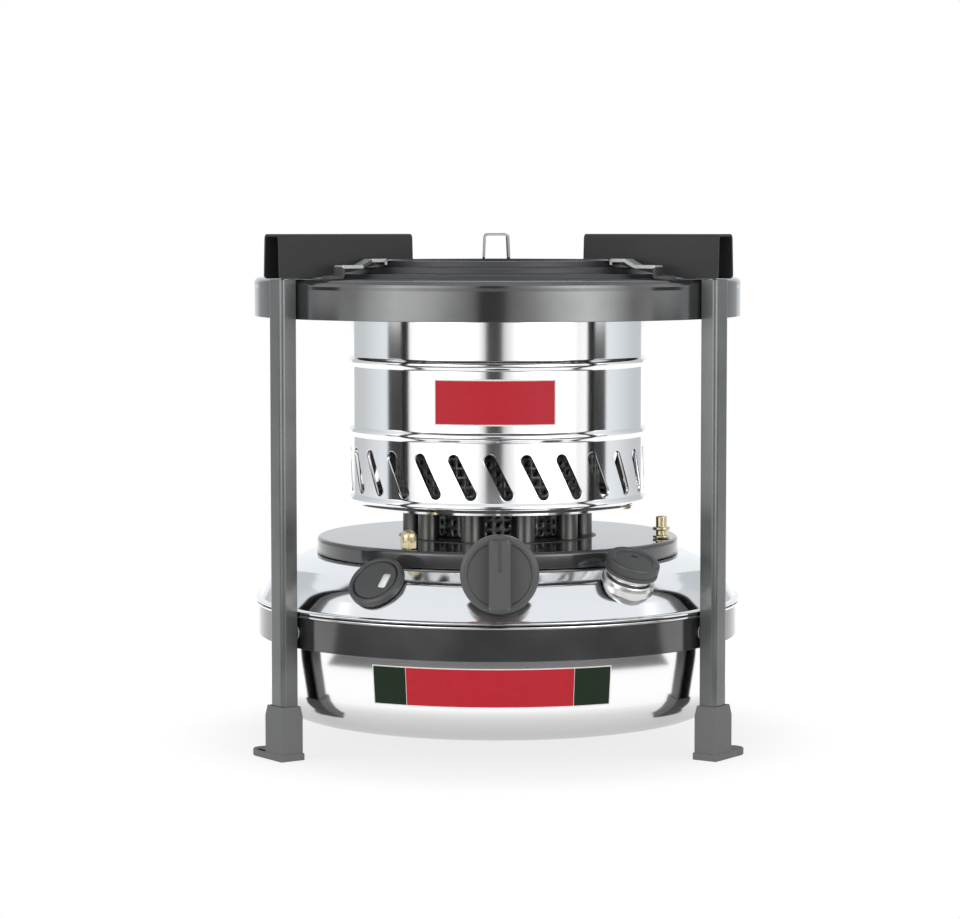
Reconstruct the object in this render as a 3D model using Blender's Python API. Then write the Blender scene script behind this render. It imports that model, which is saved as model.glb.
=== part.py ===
"""A kerosene wick stove, built as separate pieces in metres with Z up and the front at -Y."""

import math

import bmesh
import bpy
from mathutils import Matrix, Vector

# Clearances and counts that many pieces share
GAP = 0.0003
OVERRUN = 0.004
MERGE = 0.000002
RING_STEPS = 36
CASING_STEPS = 44
TUBE_STEPS = 28
SMALL_STEPS = 12
TINY_STEPS = 10

# Legs, which stand outside the two rings
LEG_AZIMUTHS = {"left": math.radians(-55), "right": math.radians(55), "rear": math.radians(180)}
LEG_WIDTH = 0.0120
LEG_DEPTH = 0.0088
LEG_CORNER = 0.0020
LEG_SHEET = 0.0015

# Plastic feet
FOOT_WALL = 0.0015
FOOT_SOLE = 0.0032
FOOT_HEIGHT = 0.0270
FOOT_SHOULDER = 0.0050
FOOT_SHOULDER_STEP = 0.0008
FOOT_FLANGE = 0.0035
FOOT_LIP = 0.0006
FOOT_TONGUE_REACH = 0.0235
FOOT_TONGUE_STEPS = 6

# Top ring with its inward lip and rolled edge
RING_R = 0.1250
RING_SHEET = 0.0010
RING_HEIGHT = 0.0197
RING_TOP_Z = 0.2384
RING_LIP = 0.0065
RING_ROLL_DEPTH = 0.0038
RING_ROLL_PROUD = 0.0006

# Ring that carries the tank
TANK_RING_INSET = 0.0015
TANK_RING_SHEET = 0.0012
TANK_RING_BASE_Z = 0.0552
TANK_RING_HEIGHT = 0.0157

# Rivets between the tank ring and the legs
RIVET_R = 0.0025

# Folded pan supports
SUPPORT_SETBACK = 0.0030
SUPPORT_END = 0.0013
SUPPORT_HEIGHT = 0.0220
SUPPORT_TOP_WIDTH = 0.0120
SUPPORT_FOOT_WIDTH = 0.0155
SUPPORT_SHEET = 0.0012
SUPPORT_NOTCH_CLEARANCE = 0.0008

# Stepped heat shield that closes the top of the drum
SHIELD_SHEET = 0.0010
SHIELD_RADIUS_SHARES = (0.88, 0.764, 0.644, 0.564)
SHIELD_LIFT = 0.0002
SHIELD_FIRST_STEP = 0.0022
SHIELD_STEP = 0.0032
SHIELD_CLEARANCE = 0.0017
SHIELD_RISER = 0.0006

# Bright lugs that carry the heat shield on the top ring
LUG_AZIMUTHS = {"left": math.radians(-45), "right": math.radians(45), "rear": math.radians(180)}
LUG_WIDTH = 0.0060
LUG_SHEET = 0.0012
LUG_INNER_SHARE = 0.624
LUG_PIN_SHARE = 0.68
LUG_CREST_SHARE = 0.728
LUG_SHOULDER_SHARE = 0.784
LUG_OUTER_SHARE = 0.96
LUG_CREST_RISE = 0.0094
LUG_SHOULDER_RISE = 0.0066
LUG_PIN_R = 0.0020

# Tank pan below the seam and tank dome above it
TANK_SHEET = 0.0010
PAN_CLEARANCE = 0.0009
PAN_DEPTH = 0.0552
PAN_WALL_SHARES = ((0.824, 0), (0.895, 0.04), (0.942, 0.12), (0.968, 0.26), (0.988, 0.616), (1, 1))
SEAM_PROUD = 0.0017
SEAM_HEIGHT = 0.0015
DOME_OPENING_MARGIN = 0.0070
DOME_SHOULDER = 0.0259
DOME_RISE = 0.0234
DOME_CREST_WIDTH = 0.0050
DOME_WELL_INSET = 0.0075
DOME_WELL_DROP = 0.0022
DOME_SHOULDER_SHARES = ((0.97, 0.16), (0.78, 0.48), (0.42, 0.82), (0, 1))

# Polished deck over the dome, with the wick gallery in its middle
DECK_INSET = 0.0030
DECK_HEIGHT = 0.0086
DECK_SHEET = 0.0010
DECK_EDGE = 0.0014
DECK_OPENING_MARGIN = 0.0020
DECK_NOTCH_WIDTH = 0.0044
STUD_AZIMUTHS = {"left": math.radians(-31), "right": math.radians(76), "rear": math.radians(200)}
STUD_INSET = 0.0071
STUD_R = 0.0018
STUD_HEIGHT = 0.0115
NUT_R = 0.0044
NUT_HEIGHT = 0.0095
GALLERY_TOP_RISE = 0.0004
GALLERY_FLANGE = 0.0018
GALLERY_FLANGE_REACH = 0.0035

# Ten wicks and the tubes that hold them
WICK_COUNT = 10
WICK_RING_R = 0.0435
WICK_R = 0.0045
WICK_CLEARANCE = 0.0060
WICK_PROUD = 0.0010
TUBE_CLEARANCE = 0.0004
TUBE_SHEET = 0.0006
TUBE_TAIL = 0.0054
TUBE_RISE = 0.0225

# Wick carrier, raised by a rack and pinion
SPINDLE_R = 0.0016
SPINDLE_DROP = 0.0067
SPINDLE_TAIL = 0.0120
CARRIER_MARGIN = 0.0020
CARRIER_SHEET = 0.0012
TOOTH_COUNT = 12
PITCH_R = 0.0060
TOOTH_RISE = 0.0009
TOOTH_ROOT = 0.0012
TOOTH_THICKNESS_SHARE = 0.73
TOOTH_SLOPE = math.radians(20)
PINION_WIDTH = 0.0070
RACK_WIDTH = 0.0060
RACK_BACK = 0.0033
RACK_FOOT = 0.00145
RACK_TEETH_BELOW = 6
RACK_TEETH_ABOVE = 1
WICK_TRAVEL = 0.0150
HOUSING_SHEET = 0.0010
HOUSING_CLEARANCE = 0.0010
BRACKET_PLAY = 0.0010
BRACKET_THICKNESS = 0.0030
BRACKET_WIDTH = 0.0090

# Control knob in front of the tank
KNOB_R = 0.0190
KNOB_SETBACK = 0.0010
KNOB_THICKNESS = 0.0140
KNOB_DISC = 0.0070
KNOB_EDGE = 0.0012
KNOB_RIB_WIDTH = 0.0112
KNOB_RIB_LENGTH_SHARE = 0.93
KNOB_RIB_DRAFT = 0.0014
KNOB_BORE_DEPTH = 0.0085
KNOB_HUB_R = 0.0042
KNOB_HUB_LENGTH = 0.0060

# Drum: outer casing, two spreaders, cap and cross pins
CASING_R = 0.0758
CASING_SHEET = 0.0008
LIGHTING_GAP = 0.0165
SHIELD_AIR = 0.0016
BEAD_LEVEL_SHARES = (0.0323, 0.3362, 0.648)
BEAD_HALF = 0.0025
BEAD_PROUD = 0.0012
SLOT_COUNT = 26
SLOT_WIDTH = 0.0060
SLOT_HEIGHT = 0.0230
SLOT_RISE = 0.0188
SLOT_LEAN = math.radians(27)
SLOT_END_STEPS = 2
OUTER_SPREADER_CLEARANCE = 0.0030
OUTER_SPREADER_LIFT = 0.0020
OUTER_SPREADER_RISE = 0.0016
INNER_SPREADER_CLEARANCE = 0.0035
INNER_SPREADER_DROP = 0.0020
SPREADER_SHEET = 0.0008
SPREADER_CAP_RISE = 0.0030
SPREADER_CAP_EDGE = 0.0020
CROSS_PIN_R = 0.0015
CROSS_PIN_RISE = 0.0345
CROSS_PIN_END_PLAY = 0.0006
CROSS_PIN_AZIMUTHS = {"front": 0, "right": math.radians(108), "left": math.radians(252)}

# Filler neck and its screw cap
FILLER_AZIMUTH = math.radians(34.5)
FILLER_REACH = 0.0150
FILLER_DROP = 0.0060
FILLER_TILT = math.radians(24)
NECK_R = 0.0103
NECK_SHEET = 0.0010
NECK_DEPTH = 0.0110
NECK_RISE = 0.0098
SEAL_THICKNESS = 0.0012
CAP_R = 0.0133
CAP_WALL = 0.0015
CAP_ROOF = 0.0016
CAP_SKIRT_BASE = 0.0063
CAP_EDGE = 0.0013

# Fuel gauge: body, lens, bracket, pin, lever and float
GAUGE_AZIMUTH = math.radians(-32)
GAUGE_REACH = 0.0123
GAUGE_DROP = 0.0096
GAUGE_TILT = math.radians(45)
GAUGE_R = 0.0144
GAUGE_RISE = 0.0042
GAUGE_FLANGE = 0.0023
GAUGE_RIM = 0.0022
GAUGE_WELL = 0.0016
GAUGE_STEM_R = 0.0060
GAUGE_STEM_DEPTH = 0.0100
LENS_SHEET = 0.0010
CHEEK_SHEET = 0.0012
CHEEK_SPACING = 0.0030
CHEEK_WIDTH = 0.0060
CHEEK_LENGTH = 0.0090
GAUGE_PIN_R = 0.0010
LEVER_SHEET = 0.0018
LEVER_EYE_R = 0.0026
LEVER_WIDTH = 0.0024
LEVER_LENGTH = 0.0320
LEVER_DROOP = math.radians(60)
FLOAT_R = 0.0080
FLOAT_HEIGHT = 0.0100
FLOAT_EDGE = 0.0020

# Sizes that follow from the ones above
RING_BASE_Z = RING_TOP_Z - RING_HEIGHT
RING_LIP_R = RING_R - RING_LIP
LEG_INNER_R = RING_R + RING_ROLL_PROUD + GAP
LEG_OUTER_R = LEG_INNER_R + LEG_DEPTH
TANK_RING_R = RING_R - TANK_RING_INSET
TANK_RING_TOP_Z = TANK_RING_BASE_Z + TANK_RING_HEIGHT
SEAM_R = TANK_RING_R + SEAM_PROUD
SEAM_BASE_Z = TANK_RING_TOP_Z + GAP
PAN_R = TANK_RING_R - TANK_RING_SHEET - PAN_CLEARANCE
PAN_BASE_Z = SEAM_BASE_Z - PAN_DEPTH
PAN_LIP_Z = SEAM_BASE_Z + SEAM_HEIGHT
DOME_BASE_Z = PAN_LIP_Z + GAP
DOME_CREST_R = PAN_R + TANK_SHEET - DOME_SHOULDER
DOME_CREST_Z = DOME_BASE_Z + DOME_RISE
DOME_WELL_R = DOME_CREST_R - DOME_WELL_INSET
DOME_WELL_Z = DOME_CREST_Z - DOME_WELL_DROP
DECK_R = DOME_CREST_R - DECK_INSET
DECK_TOP_Z = DOME_CREST_Z + DECK_HEIGHT
DECK_UNDER_Z = DECK_TOP_Z - DECK_SHEET
TUBE_BORE_R = WICK_R + TUBE_CLEARANCE
TUBE_OUTER_R = TUBE_BORE_R + TUBE_SHEET
DECK_OPENING_R = WICK_RING_R + TUBE_OUTER_R + DECK_OPENING_MARGIN
DOME_OPENING_R = DECK_OPENING_R + DOME_OPENING_MARGIN
STUD_CIRCLE_R = DECK_R - STUD_INSET
GALLERY_R = DECK_OPENING_R - GAP
GALLERY_TOP_Z = DECK_TOP_Z + GALLERY_TOP_RISE
GALLERY_FLANGE_TOP_Z = DECK_UNDER_Z - GAP
GALLERY_BASE_Z = GALLERY_FLANGE_TOP_Z - GALLERY_FLANGE
TUBE_BASE_Z = GALLERY_BASE_Z - TUBE_TAIL
TUBE_TOP_Z = DECK_TOP_Z + TUBE_RISE
WICK_BASE_Z = PAN_BASE_Z + WICK_CLEARANCE
WICK_TOP_Z = TUBE_TOP_Z + WICK_PROUD
SPINDLE_Z = DECK_TOP_Z - SPINDLE_DROP
TOOTH_PITCH = 2 * math.pi * PITCH_R / TOOTH_COUNT
TOOTH_HALF = TOOTH_THICKNESS_SHARE * TOOTH_PITCH / 4
PINION_R = PITCH_R + TOOTH_RISE
CARRIER_R = WICK_RING_R + WICK_R + CARRIER_MARGIN
CARRIER_TOP_Z = SPINDLE_Z - RACK_TEETH_BELOW * TOOTH_PITCH - RACK_FOOT
CARRIER_BASE_Z = CARRIER_TOP_Z - CARRIER_SHEET
RACK_BASE_Z = CARRIER_TOP_Z + GAP
RACK_TOP_Z = SPINDLE_Z + (RACK_TEETH_ABOVE + 1 / 2) * TOOTH_PITCH
KNOB_BACK_Y = KNOB_SETBACK - RING_R
OUTER_SPREADER_R = WICK_RING_R + TUBE_OUTER_R + OUTER_SPREADER_CLEARANCE + SPREADER_SHEET
INNER_SPREADER_R = WICK_RING_R - TUBE_OUTER_R - INNER_SPREADER_CLEARANCE
OUTER_SPREADER_TOP_Z = RING_TOP_Z + OUTER_SPREADER_RISE
INNER_SPREADER_TOP_Z = OUTER_SPREADER_TOP_Z - INNER_SPREADER_DROP
SHIELD_OPENING_R = OUTER_SPREADER_R + SHIELD_CLEARANCE
SHIELD_RADII = tuple(share * RING_R for share in SHIELD_RADIUS_SHARES)
SHIELD_BASE_Z = RING_TOP_Z + SHIELD_LIFT
SHIELD_RISES = (0, SHIELD_FIRST_STEP, SHIELD_FIRST_STEP + SHIELD_STEP, SHIELD_FIRST_STEP + 2 * SHIELD_STEP)
SHIELD_LEVELS = tuple(SHIELD_BASE_Z + rise for rise in SHIELD_RISES)
CASING_BASE_Z = DECK_TOP_Z + LIGHTING_GAP
CASING_TOP_Z = SHIELD_BASE_Z - SHIELD_SHEET - SHIELD_AIR
CASING_HEIGHT = CASING_TOP_Z - CASING_BASE_Z
BEAD_LEVELS = tuple(CASING_BASE_Z + share * CASING_HEIGHT for share in BEAD_LEVEL_SHARES)
SLOT_MIDDLE_Z = CASING_BASE_Z + SLOT_RISE
OUTER_SPREADER_BASE_Z = CASING_BASE_Z + OUTER_SPREADER_LIFT
CROSS_PIN_Z = CASING_BASE_Z + CROSS_PIN_RISE
SUPPORT_SEAT_Z = RING_TOP_Z + GAP
SUPPORT_TOP_Z = SUPPORT_SEAT_Z + SUPPORT_HEIGHT
SUPPORT_INNER_R = SHIELD_OPENING_R + SUPPORT_SETBACK
SUPPORT_OUTER_R = LEG_OUTER_R + SUPPORT_END
LUG_INNER_R = LUG_INNER_SHARE * RING_R
LUG_PIN_SEAT_R = LUG_PIN_SHARE * RING_R
LUG_CREST_R = LUG_CREST_SHARE * RING_R
LUG_SHOULDER_R = LUG_SHOULDER_SHARE * RING_R
LUG_OUTER_R = LUG_OUTER_SHARE * RING_R
LUG_CREST_Z = RING_TOP_Z + LUG_CREST_RISE
LUG_SHOULDER_Z = RING_TOP_Z + LUG_SHOULDER_RISE
NECK_BORE_R = NECK_R - NECK_SHEET
FILLER_SEAT_R = DOME_CREST_R + FILLER_REACH
FILLER_SEAT_Z = DOME_CREST_Z - FILLER_DROP
GAUGE_SEAT_R = DOME_CREST_R + GAUGE_REACH
GAUGE_SEAT_Z = DOME_CREST_Z - GAUGE_DROP


def clear_scene():
    """Remove every object that the opened file holds."""
    for thing in list(bpy.data.objects):
        bpy.data.objects.remove(thing, do_unlink=True)


def material(name, colour, metallic, roughness):
    """Make one plain Principled material."""
    made = bpy.data.materials.new(name)
    made.use_nodes = True
    shader = made.node_tree.nodes["Principled BSDF"]
    shader.inputs["Base Color"].default_value = (*colour, 1)
    shader.inputs["Metallic"].default_value = metallic
    shader.inputs["Roughness"].default_value = roughness
    made.diffuse_color = (*colour, 1)
    return made


def spot(azimuth, radius, height, tilt=0):
    """Frame at a radius and an azimuth from the front: X along the rim, Y inwards, Z up."""
    turn = Matrix.Rotation(azimuth, 4, "Z")
    shift = Matrix.Translation((0, -radius, height))
    return turn @ shift @ Matrix.Rotation(tilt, 4, "X")


def forward_frame(y):
    """Frame on the spindle's axis at a given Y, with its Z pointing at the front."""
    return Matrix.Translation((0, y, SPINDLE_Z)) @ Matrix.Rotation(math.pi / 2, 4, "X")


def spin_outline(mesh, outline, steps, closed):
    """Turn an outline of (radius, height) points about Z, and return the new faces."""
    corners = [mesh.verts.new((radius, 0, height)) for radius, height in outline]
    pairs = list(zip(corners, corners[1:]))
    if closed:
        pairs.append((corners[-1], corners[0]))
    edges = [mesh.edges.new(pair) for pair in pairs if pair[0].co.x > 0 or pair[1].co.x > 0]
    before = set(mesh.faces)
    bmesh.ops.spin(
        mesh,
        geom=corners + edges,
        cent=(0, 0, 0),
        axis=(0, 0, 1),
        dvec=(0, 0, 0),
        angle=2 * math.pi,
        steps=steps,
        use_merge=True,
        use_duplicate=False,
    )
    bmesh.ops.remove_doubles(mesh, verts=list(mesh.verts), dist=MERGE)
    return [face for face in mesh.faces if face not in before]


def add_lathe(mesh, outline, steps, place=Matrix()):
    """Add a solid of revolution from a closed outline."""
    part = bmesh.new()
    spin_outline(part, outline, steps, closed=True)
    bmesh.ops.recalc_face_normals(part, faces=list(part.faces))
    append(mesh, part, place)


def add_prism(mesh, points, low, high, place=Matrix()):
    """Add a solid with a flat outline, extruded along Z."""
    part = bmesh.new()
    face = part.faces.new([part.verts.new((x, y, low)) for x, y in points])
    raised = bmesh.ops.extrude_face_region(part, geom=[face])
    tops = [item for item in raised["geom"] if isinstance(item, bmesh.types.BMVert)]
    bmesh.ops.translate(part, vec=(0, 0, high - low), verts=tops)
    bmesh.ops.recalc_face_normals(part, faces=list(part.faces))
    append(mesh, part, place)


def append(mesh, part, place):
    """Copy one small mesh into another at a place, and free the small one."""
    part.transform(place)
    carrier = bpy.data.meshes.new("carrier")
    part.to_mesh(carrier)
    part.free()
    mesh.from_mesh(carrier)
    bpy.data.meshes.remove(carrier)


def disc_outline(radius, low, high):
    """Outline of a solid cylinder."""
    return [(0, low), (radius, low), (radius, high), (0, high)]


def tube_outline(inner, outer, low, high):
    """Outline of a plain tube."""
    return [(inner, low), (outer, low), (outer, high), (inner, high)]


def rectangle(x_low, x_high, y_low, y_high):
    """Corners of a rectangle."""
    return [(x_low, y_low), (x_high, y_low), (x_high, y_high), (x_low, y_high)]


def finish(name, mesh, look, parent=None, smooth=False):
    """Turn a mesh in world coordinates into a named object that may hang on a joint's empty."""
    data = bpy.data.meshes.new(name)
    if parent is not None:
        mesh.transform(Matrix.Translation(-parent.location))
    mesh.to_mesh(data)
    mesh.free()
    made = bpy.data.objects.new(name, data)
    bpy.context.collection.objects.link(made)
    made.data.materials.append(look)
    made.parent = parent
    if smooth:
        made.data.shade_smooth()
    return made


def sheet_lathe(name, outline, sheet, steps, look, parent=None):
    """Spun sheet metal: the outline runs up the outside and then inwards over the top."""
    mesh = bmesh.new()
    spin_outline(mesh, outline, steps, closed=False)
    (first_r, first_z), (next_r, next_z) = outline[0], outline[1]
    mesh.faces.ensure_lookup_table()
    probe = min(mesh.faces, key=lambda face: start_distance(face, outline[0], outline[1]))
    radial = Vector((probe.calc_center_median().x, probe.calc_center_median().y, 0)).normalized()
    wanted = radial * (next_z - first_z) + Vector((0, 0, first_r - next_r))
    bmesh.ops.recalc_face_normals(mesh, faces=list(mesh.faces))
    if probe.normal.dot(wanted) < 0:
        bmesh.ops.reverse_faces(mesh, faces=list(mesh.faces))
    made = finish(name, mesh, look, parent, smooth=True)
    thicken(made, sheet)
    return made


def start_distance(face, first, second):
    """Distance of a face from the middle of an outline's first stretch."""
    middle = face.calc_center_median()
    radius = math.hypot(middle.x, middle.y)
    height = middle.z
    return math.hypot(radius - (first[0] + second[0]) / 2, height - (first[1] + second[1]) / 2)


def thicken(made, sheet):
    """Give a surface its sheet thickness on the inner side."""
    solid = made.modifiers.new("sheet", "SOLIDIFY")
    solid.thickness = sheet
    solid.offset = -1
    solid.use_even_offset = True


def carve(made, tool_mesh, operation="DIFFERENCE"):
    """Cut a closed mesh out of an object, or join it on, and keep only the result."""
    data = bpy.data.meshes.new("tool")
    tool_mesh.to_mesh(data)
    tool_mesh.free()
    tool = bpy.data.objects.new("tool", data)
    bpy.context.collection.objects.link(tool)
    tool.matrix_world = Matrix()
    step = made.modifiers.new("carve", "BOOLEAN")
    step.operation = operation
    step.solver = "EXACT"
    step.object = tool
    bpy.context.view_layer.update()
    graph = bpy.context.evaluated_depsgraph_get()
    result = bpy.data.meshes.new_from_object(made.evaluated_get(graph))
    made.modifiers.clear()
    old = made.data
    made.data = result
    result.name = made.name
    bpy.data.meshes.remove(old)
    bpy.data.objects.remove(tool, do_unlink=True)
    bpy.data.meshes.remove(data)


def axis_empty(name, place):
    """Empty on a joint's axis, which carries the pieces that move with it."""
    made = bpy.data.objects.new(name, None)
    made.empty_display_size = KNOB_R
    made.location = place
    bpy.context.collection.objects.link(made)
    return made


def folded_sheet(name, sections, sheet, look):
    """Folded sheet metal through a row of sections with equal point counts."""
    mesh = bmesh.new()
    rows = [[mesh.verts.new(point) for point in section] for section in sections]
    for row, following in zip(rows, rows[1:]):
        for index in range(len(row) - 1):
            mesh.faces.new((row[index], row[index + 1], following[index + 1], following[index]))
    made = finish(name, mesh, look)
    thicken(made, sheet)
    return made


def make_leg(side, look):
    """U-shaped leg that is open towards the rings."""
    half = LEG_WIDTH / 2
    section = [
        (-half, LEG_INNER_R),
        (-half, LEG_OUTER_R - LEG_CORNER),
        (LEG_CORNER - half, LEG_OUTER_R),
        (half - LEG_CORNER, LEG_OUTER_R),
        (half, LEG_OUTER_R - LEG_CORNER),
        (half, LEG_INNER_R),
    ]
    place = spot(LEG_AZIMUTHS[side], 0, 0)
    levels = (FOOT_SOLE + GAP, RING_TOP_Z)
    sections = [[place @ Vector((x, -r, level)) for x, r in section] for level in levels]
    return folded_sheet(f"leg_{side}", sections, LEG_SHEET, look)


def make_foot(side, look):
    """Plastic boot round the end of a leg, with a tongue that runs back along the floor."""
    half_x = LEG_WIDTH / 2 + GAP + FOOT_WALL
    half_y = LEG_DEPTH / 2 + GAP + FOOT_WALL
    middle = LEG_INNER_R + LEG_DEPTH / 2
    place = spot(LEG_AZIMUTHS[side], middle, 0)
    way = -1 if side == "left" else 1
    edge_x = half_x + FOOT_LIP
    edge_y = half_y + FOOT_LIP
    tip_x = FOOT_TONGUE_REACH - edge_y
    turns = [math.pi * (step / FOOT_TONGUE_STEPS - 1 / 2) for step in range(FOOT_TONGUE_STEPS + 1)]
    tip = [(tip_x + edge_y * math.cos(turn), edge_y * math.sin(turn)) for turn in turns]
    outline = [(-edge_x, -edge_y), *tip, (-edge_x, edge_y)]
    mesh = bmesh.new()
    add_prism(mesh, [(way * x, y) for x, y in outline], 0, FOOT_FLANGE, place)
    made = finish(f"foot_{side}", mesh, look)
    shoulder_z = FOOT_HEIGHT - FOOT_SHOULDER
    socket = bmesh.new()
    levels = (
        (half_x, half_y, FOOT_FLANGE / 2),
        (half_x, half_y, shoulder_z),
        (half_x - FOOT_SHOULDER_STEP, half_y - FOOT_SHOULDER_STEP, FOOT_HEIGHT),
    )
    add_stack(socket, levels, place)
    carve(made, socket, "UNION")
    hollow = bmesh.new()
    hollow_x = LEG_WIDTH / 2 + GAP
    hollow_y = LEG_DEPTH / 2 + GAP
    inner = rectangle(-hollow_x, hollow_x, -hollow_y, hollow_y)
    add_prism(hollow, inner, FOOT_SOLE, FOOT_HEIGHT + OVERRUN, place)
    carve(made, hollow)
    return made


def add_stack(mesh, levels, place=Matrix()):
    """Add a closed block through a row of centred rectangles (half x, half y, height)."""
    part = bmesh.new()
    rows = []
    for half_x, half_y, height in levels:
        corners = rectangle(-half_x, half_x, -half_y, half_y)
        rows.append([part.verts.new((x, y, height)) for x, y in corners])
    part.faces.new(rows[0])
    part.faces.new(rows[-1])
    for row, following in zip(rows, rows[1:]):
        for index in range(4):
            after = (index + 1) % 4
            part.faces.new((row[index], row[after], following[after], following[index]))
    bmesh.ops.recalc_face_normals(part, faces=list(part.faces))
    append(mesh, part, place)


def make_top_ring(look):
    """Flat band with a rolled upper edge and an inward lip that carries lugs and supports."""
    roll_base = RING_TOP_Z - RING_ROLL_DEPTH
    outline = [
        (RING_R, RING_BASE_Z),
        (RING_R, roll_base),
        (RING_R + RING_ROLL_PROUD, RING_TOP_Z - RING_ROLL_DEPTH / 2),
        (RING_R - RING_ROLL_PROUD, RING_TOP_Z),
        (RING_LIP_R, RING_TOP_Z),
    ]
    return sheet_lathe("top_ring", outline, RING_SHEET, RING_STEPS, look)


def make_tank_ring(look):
    """Plain band that carries the tank's seam."""
    mesh = bmesh.new()
    inner = TANK_RING_R - TANK_RING_SHEET
    outline = tube_outline(inner, TANK_RING_R, TANK_RING_BASE_Z, TANK_RING_TOP_Z)
    add_lathe(mesh, outline, RING_STEPS)
    return finish("tank_ring", mesh, look, smooth=False)


def make_rivet(side, look):
    """Rivet that holds a leg's web off the tank ring."""
    start = TANK_RING_R + GAP
    place = spot(LEG_AZIMUTHS[side], start, (TANK_RING_BASE_Z + TANK_RING_TOP_Z) / 2, math.pi / 2)
    mesh = bmesh.new()
    add_lathe(mesh, disc_outline(RIVET_R, 0, LEG_OUTER_R - LEG_SHEET - GAP - start), TINY_STEPS, place)
    return finish(f"rivet_{side}", mesh, look)


def shield_height(radius):
    """Upper face of the heat shield at a radius."""
    height = SHIELD_LEVELS[0]
    for edge, level in zip(SHIELD_RADII[1:], SHIELD_LEVELS[1:]):
        if radius <= edge + SHIELD_RISER:
            height = level
    return height


def make_support(side, look):
    """Folded channel, open below and at both ends, with its inner skirts cut over the shield."""
    lift = SUPPORT_NOTCH_CLEARANCE
    stations = [
        (SUPPORT_INNER_R, SHIELD_LEVELS[3] + lift),
        (SHIELD_RADII[3] + SHIELD_RISER + lift, SHIELD_LEVELS[3] + lift),
        (SHIELD_RADII[2] + SHIELD_RISER + lift, SHIELD_LEVELS[2] + lift),
        (SHIELD_RADII[1] + SHIELD_RISER + lift, SHIELD_LEVELS[1] + lift),
        (RING_LIP_R, SUPPORT_SEAT_Z),
        (SUPPORT_OUTER_R, SUPPORT_SEAT_Z),
    ]
    place = spot(LEG_AZIMUTHS[side], 0, 0)
    sections = []
    for radius, skirt in stations:
        depth_share = (SUPPORT_TOP_Z - skirt) / SUPPORT_HEIGHT
        half_top = SUPPORT_TOP_WIDTH / 2
        half_skirt = half_top + depth_share * (SUPPORT_FOOT_WIDTH - SUPPORT_TOP_WIDTH) / 2
        corners = [
            (half_skirt, skirt),
            (half_top, SUPPORT_TOP_Z),
            (-half_top, SUPPORT_TOP_Z),
            (-half_skirt, skirt),
        ]
        sections.append([place @ Vector((x, -radius, z)) for x, z in corners])
    return folded_sheet(f"pan_support_{side}", sections, SUPPORT_SHEET, look)


def make_heat_shield(look):
    """Stepped black disc round the flame opening."""
    outline = [(SHIELD_RADII[0], SHIELD_LEVELS[0])]
    for index in (1, 2, 3):
        outline.append((SHIELD_RADII[index] + SHIELD_RISER, SHIELD_LEVELS[index - 1]))
        outline.append((SHIELD_RADII[index], SHIELD_LEVELS[index]))
    outline.append((SHIELD_OPENING_R, SHIELD_LEVELS[3]))
    return sheet_lathe("heat_shield", outline, SHIELD_SHEET, RING_STEPS, look)


def make_lug(side, look):
    """Cranked bright strip on the top ring's lip, with a pin that carries the shield."""
    upper = [
        (LUG_INNER_R, LUG_CREST_Z),
        (LUG_CREST_R, LUG_CREST_Z),
        (LUG_SHOULDER_R, LUG_SHOULDER_Z),
        (LUG_OUTER_R, LUG_SHOULDER_Z),
        (LUG_OUTER_R, RING_TOP_Z + GAP),
    ]
    lower = [
        (LUG_OUTER_R - LUG_SHEET, RING_TOP_Z + GAP),
        (LUG_OUTER_R - LUG_SHEET, LUG_SHOULDER_Z - LUG_SHEET),
        (LUG_SHOULDER_R - LUG_SHEET / 2, LUG_SHOULDER_Z - LUG_SHEET),
        (LUG_CREST_R - LUG_SHEET / 2, LUG_CREST_Z - LUG_SHEET),
        (LUG_INNER_R, LUG_CREST_Z - LUG_SHEET),
    ]
    mesh = bmesh.new()
    place = spot(LUG_AZIMUTHS[side], 0, 0) @ side_plane()
    add_prism(mesh, upper + lower, -LUG_WIDTH / 2, LUG_WIDTH / 2, place)
    made = finish(f"lug_{side}", mesh, look)
    pin = bmesh.new()
    low = shield_height(LUG_PIN_SEAT_R) + GAP
    outline = disc_outline(LUG_PIN_R, low, LUG_CREST_Z - LUG_SHEET / 2)
    add_lathe(pin, outline, TINY_STEPS, spot(LUG_AZIMUTHS[side], LUG_PIN_SEAT_R, 0))
    carve(made, pin, "UNION")
    return made


def side_plane():
    """Turn a flat (radius, height) outline into the upright plane through the stove's axis."""
    return Matrix(((0, 0, -1, 0), (-1, 0, 0, 0), (0, 1, 0, 0), (0, 0, 0, 1)))


def make_tank_pan(look):
    """Lower half of the tank, with its lip on the tank ring."""
    wall = [(out * PAN_R, PAN_BASE_Z + up * PAN_DEPTH) for out, up in PAN_WALL_SHARES]
    outline = [(0, PAN_BASE_Z), *wall]
    made = sheet_lathe("tank_pan", outline, TANK_SHEET, RING_STEPS, look)
    lip = bmesh.new()
    lip_outline = tube_outline(PAN_R - TANK_SHEET, SEAM_R, SEAM_BASE_Z, PAN_LIP_Z)
    add_lathe(lip, lip_outline, RING_STEPS)
    carve(made, lip, "UNION")
    return made


def shoulder_points():
    """Points of the dome's shoulder, from the seam's inner edge up to the crest."""
    return [
        (DOME_CREST_R + out * DOME_SHOULDER, DOME_BASE_Z + up * DOME_RISE)
        for out, up in DOME_SHOULDER_SHARES
    ]


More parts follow.
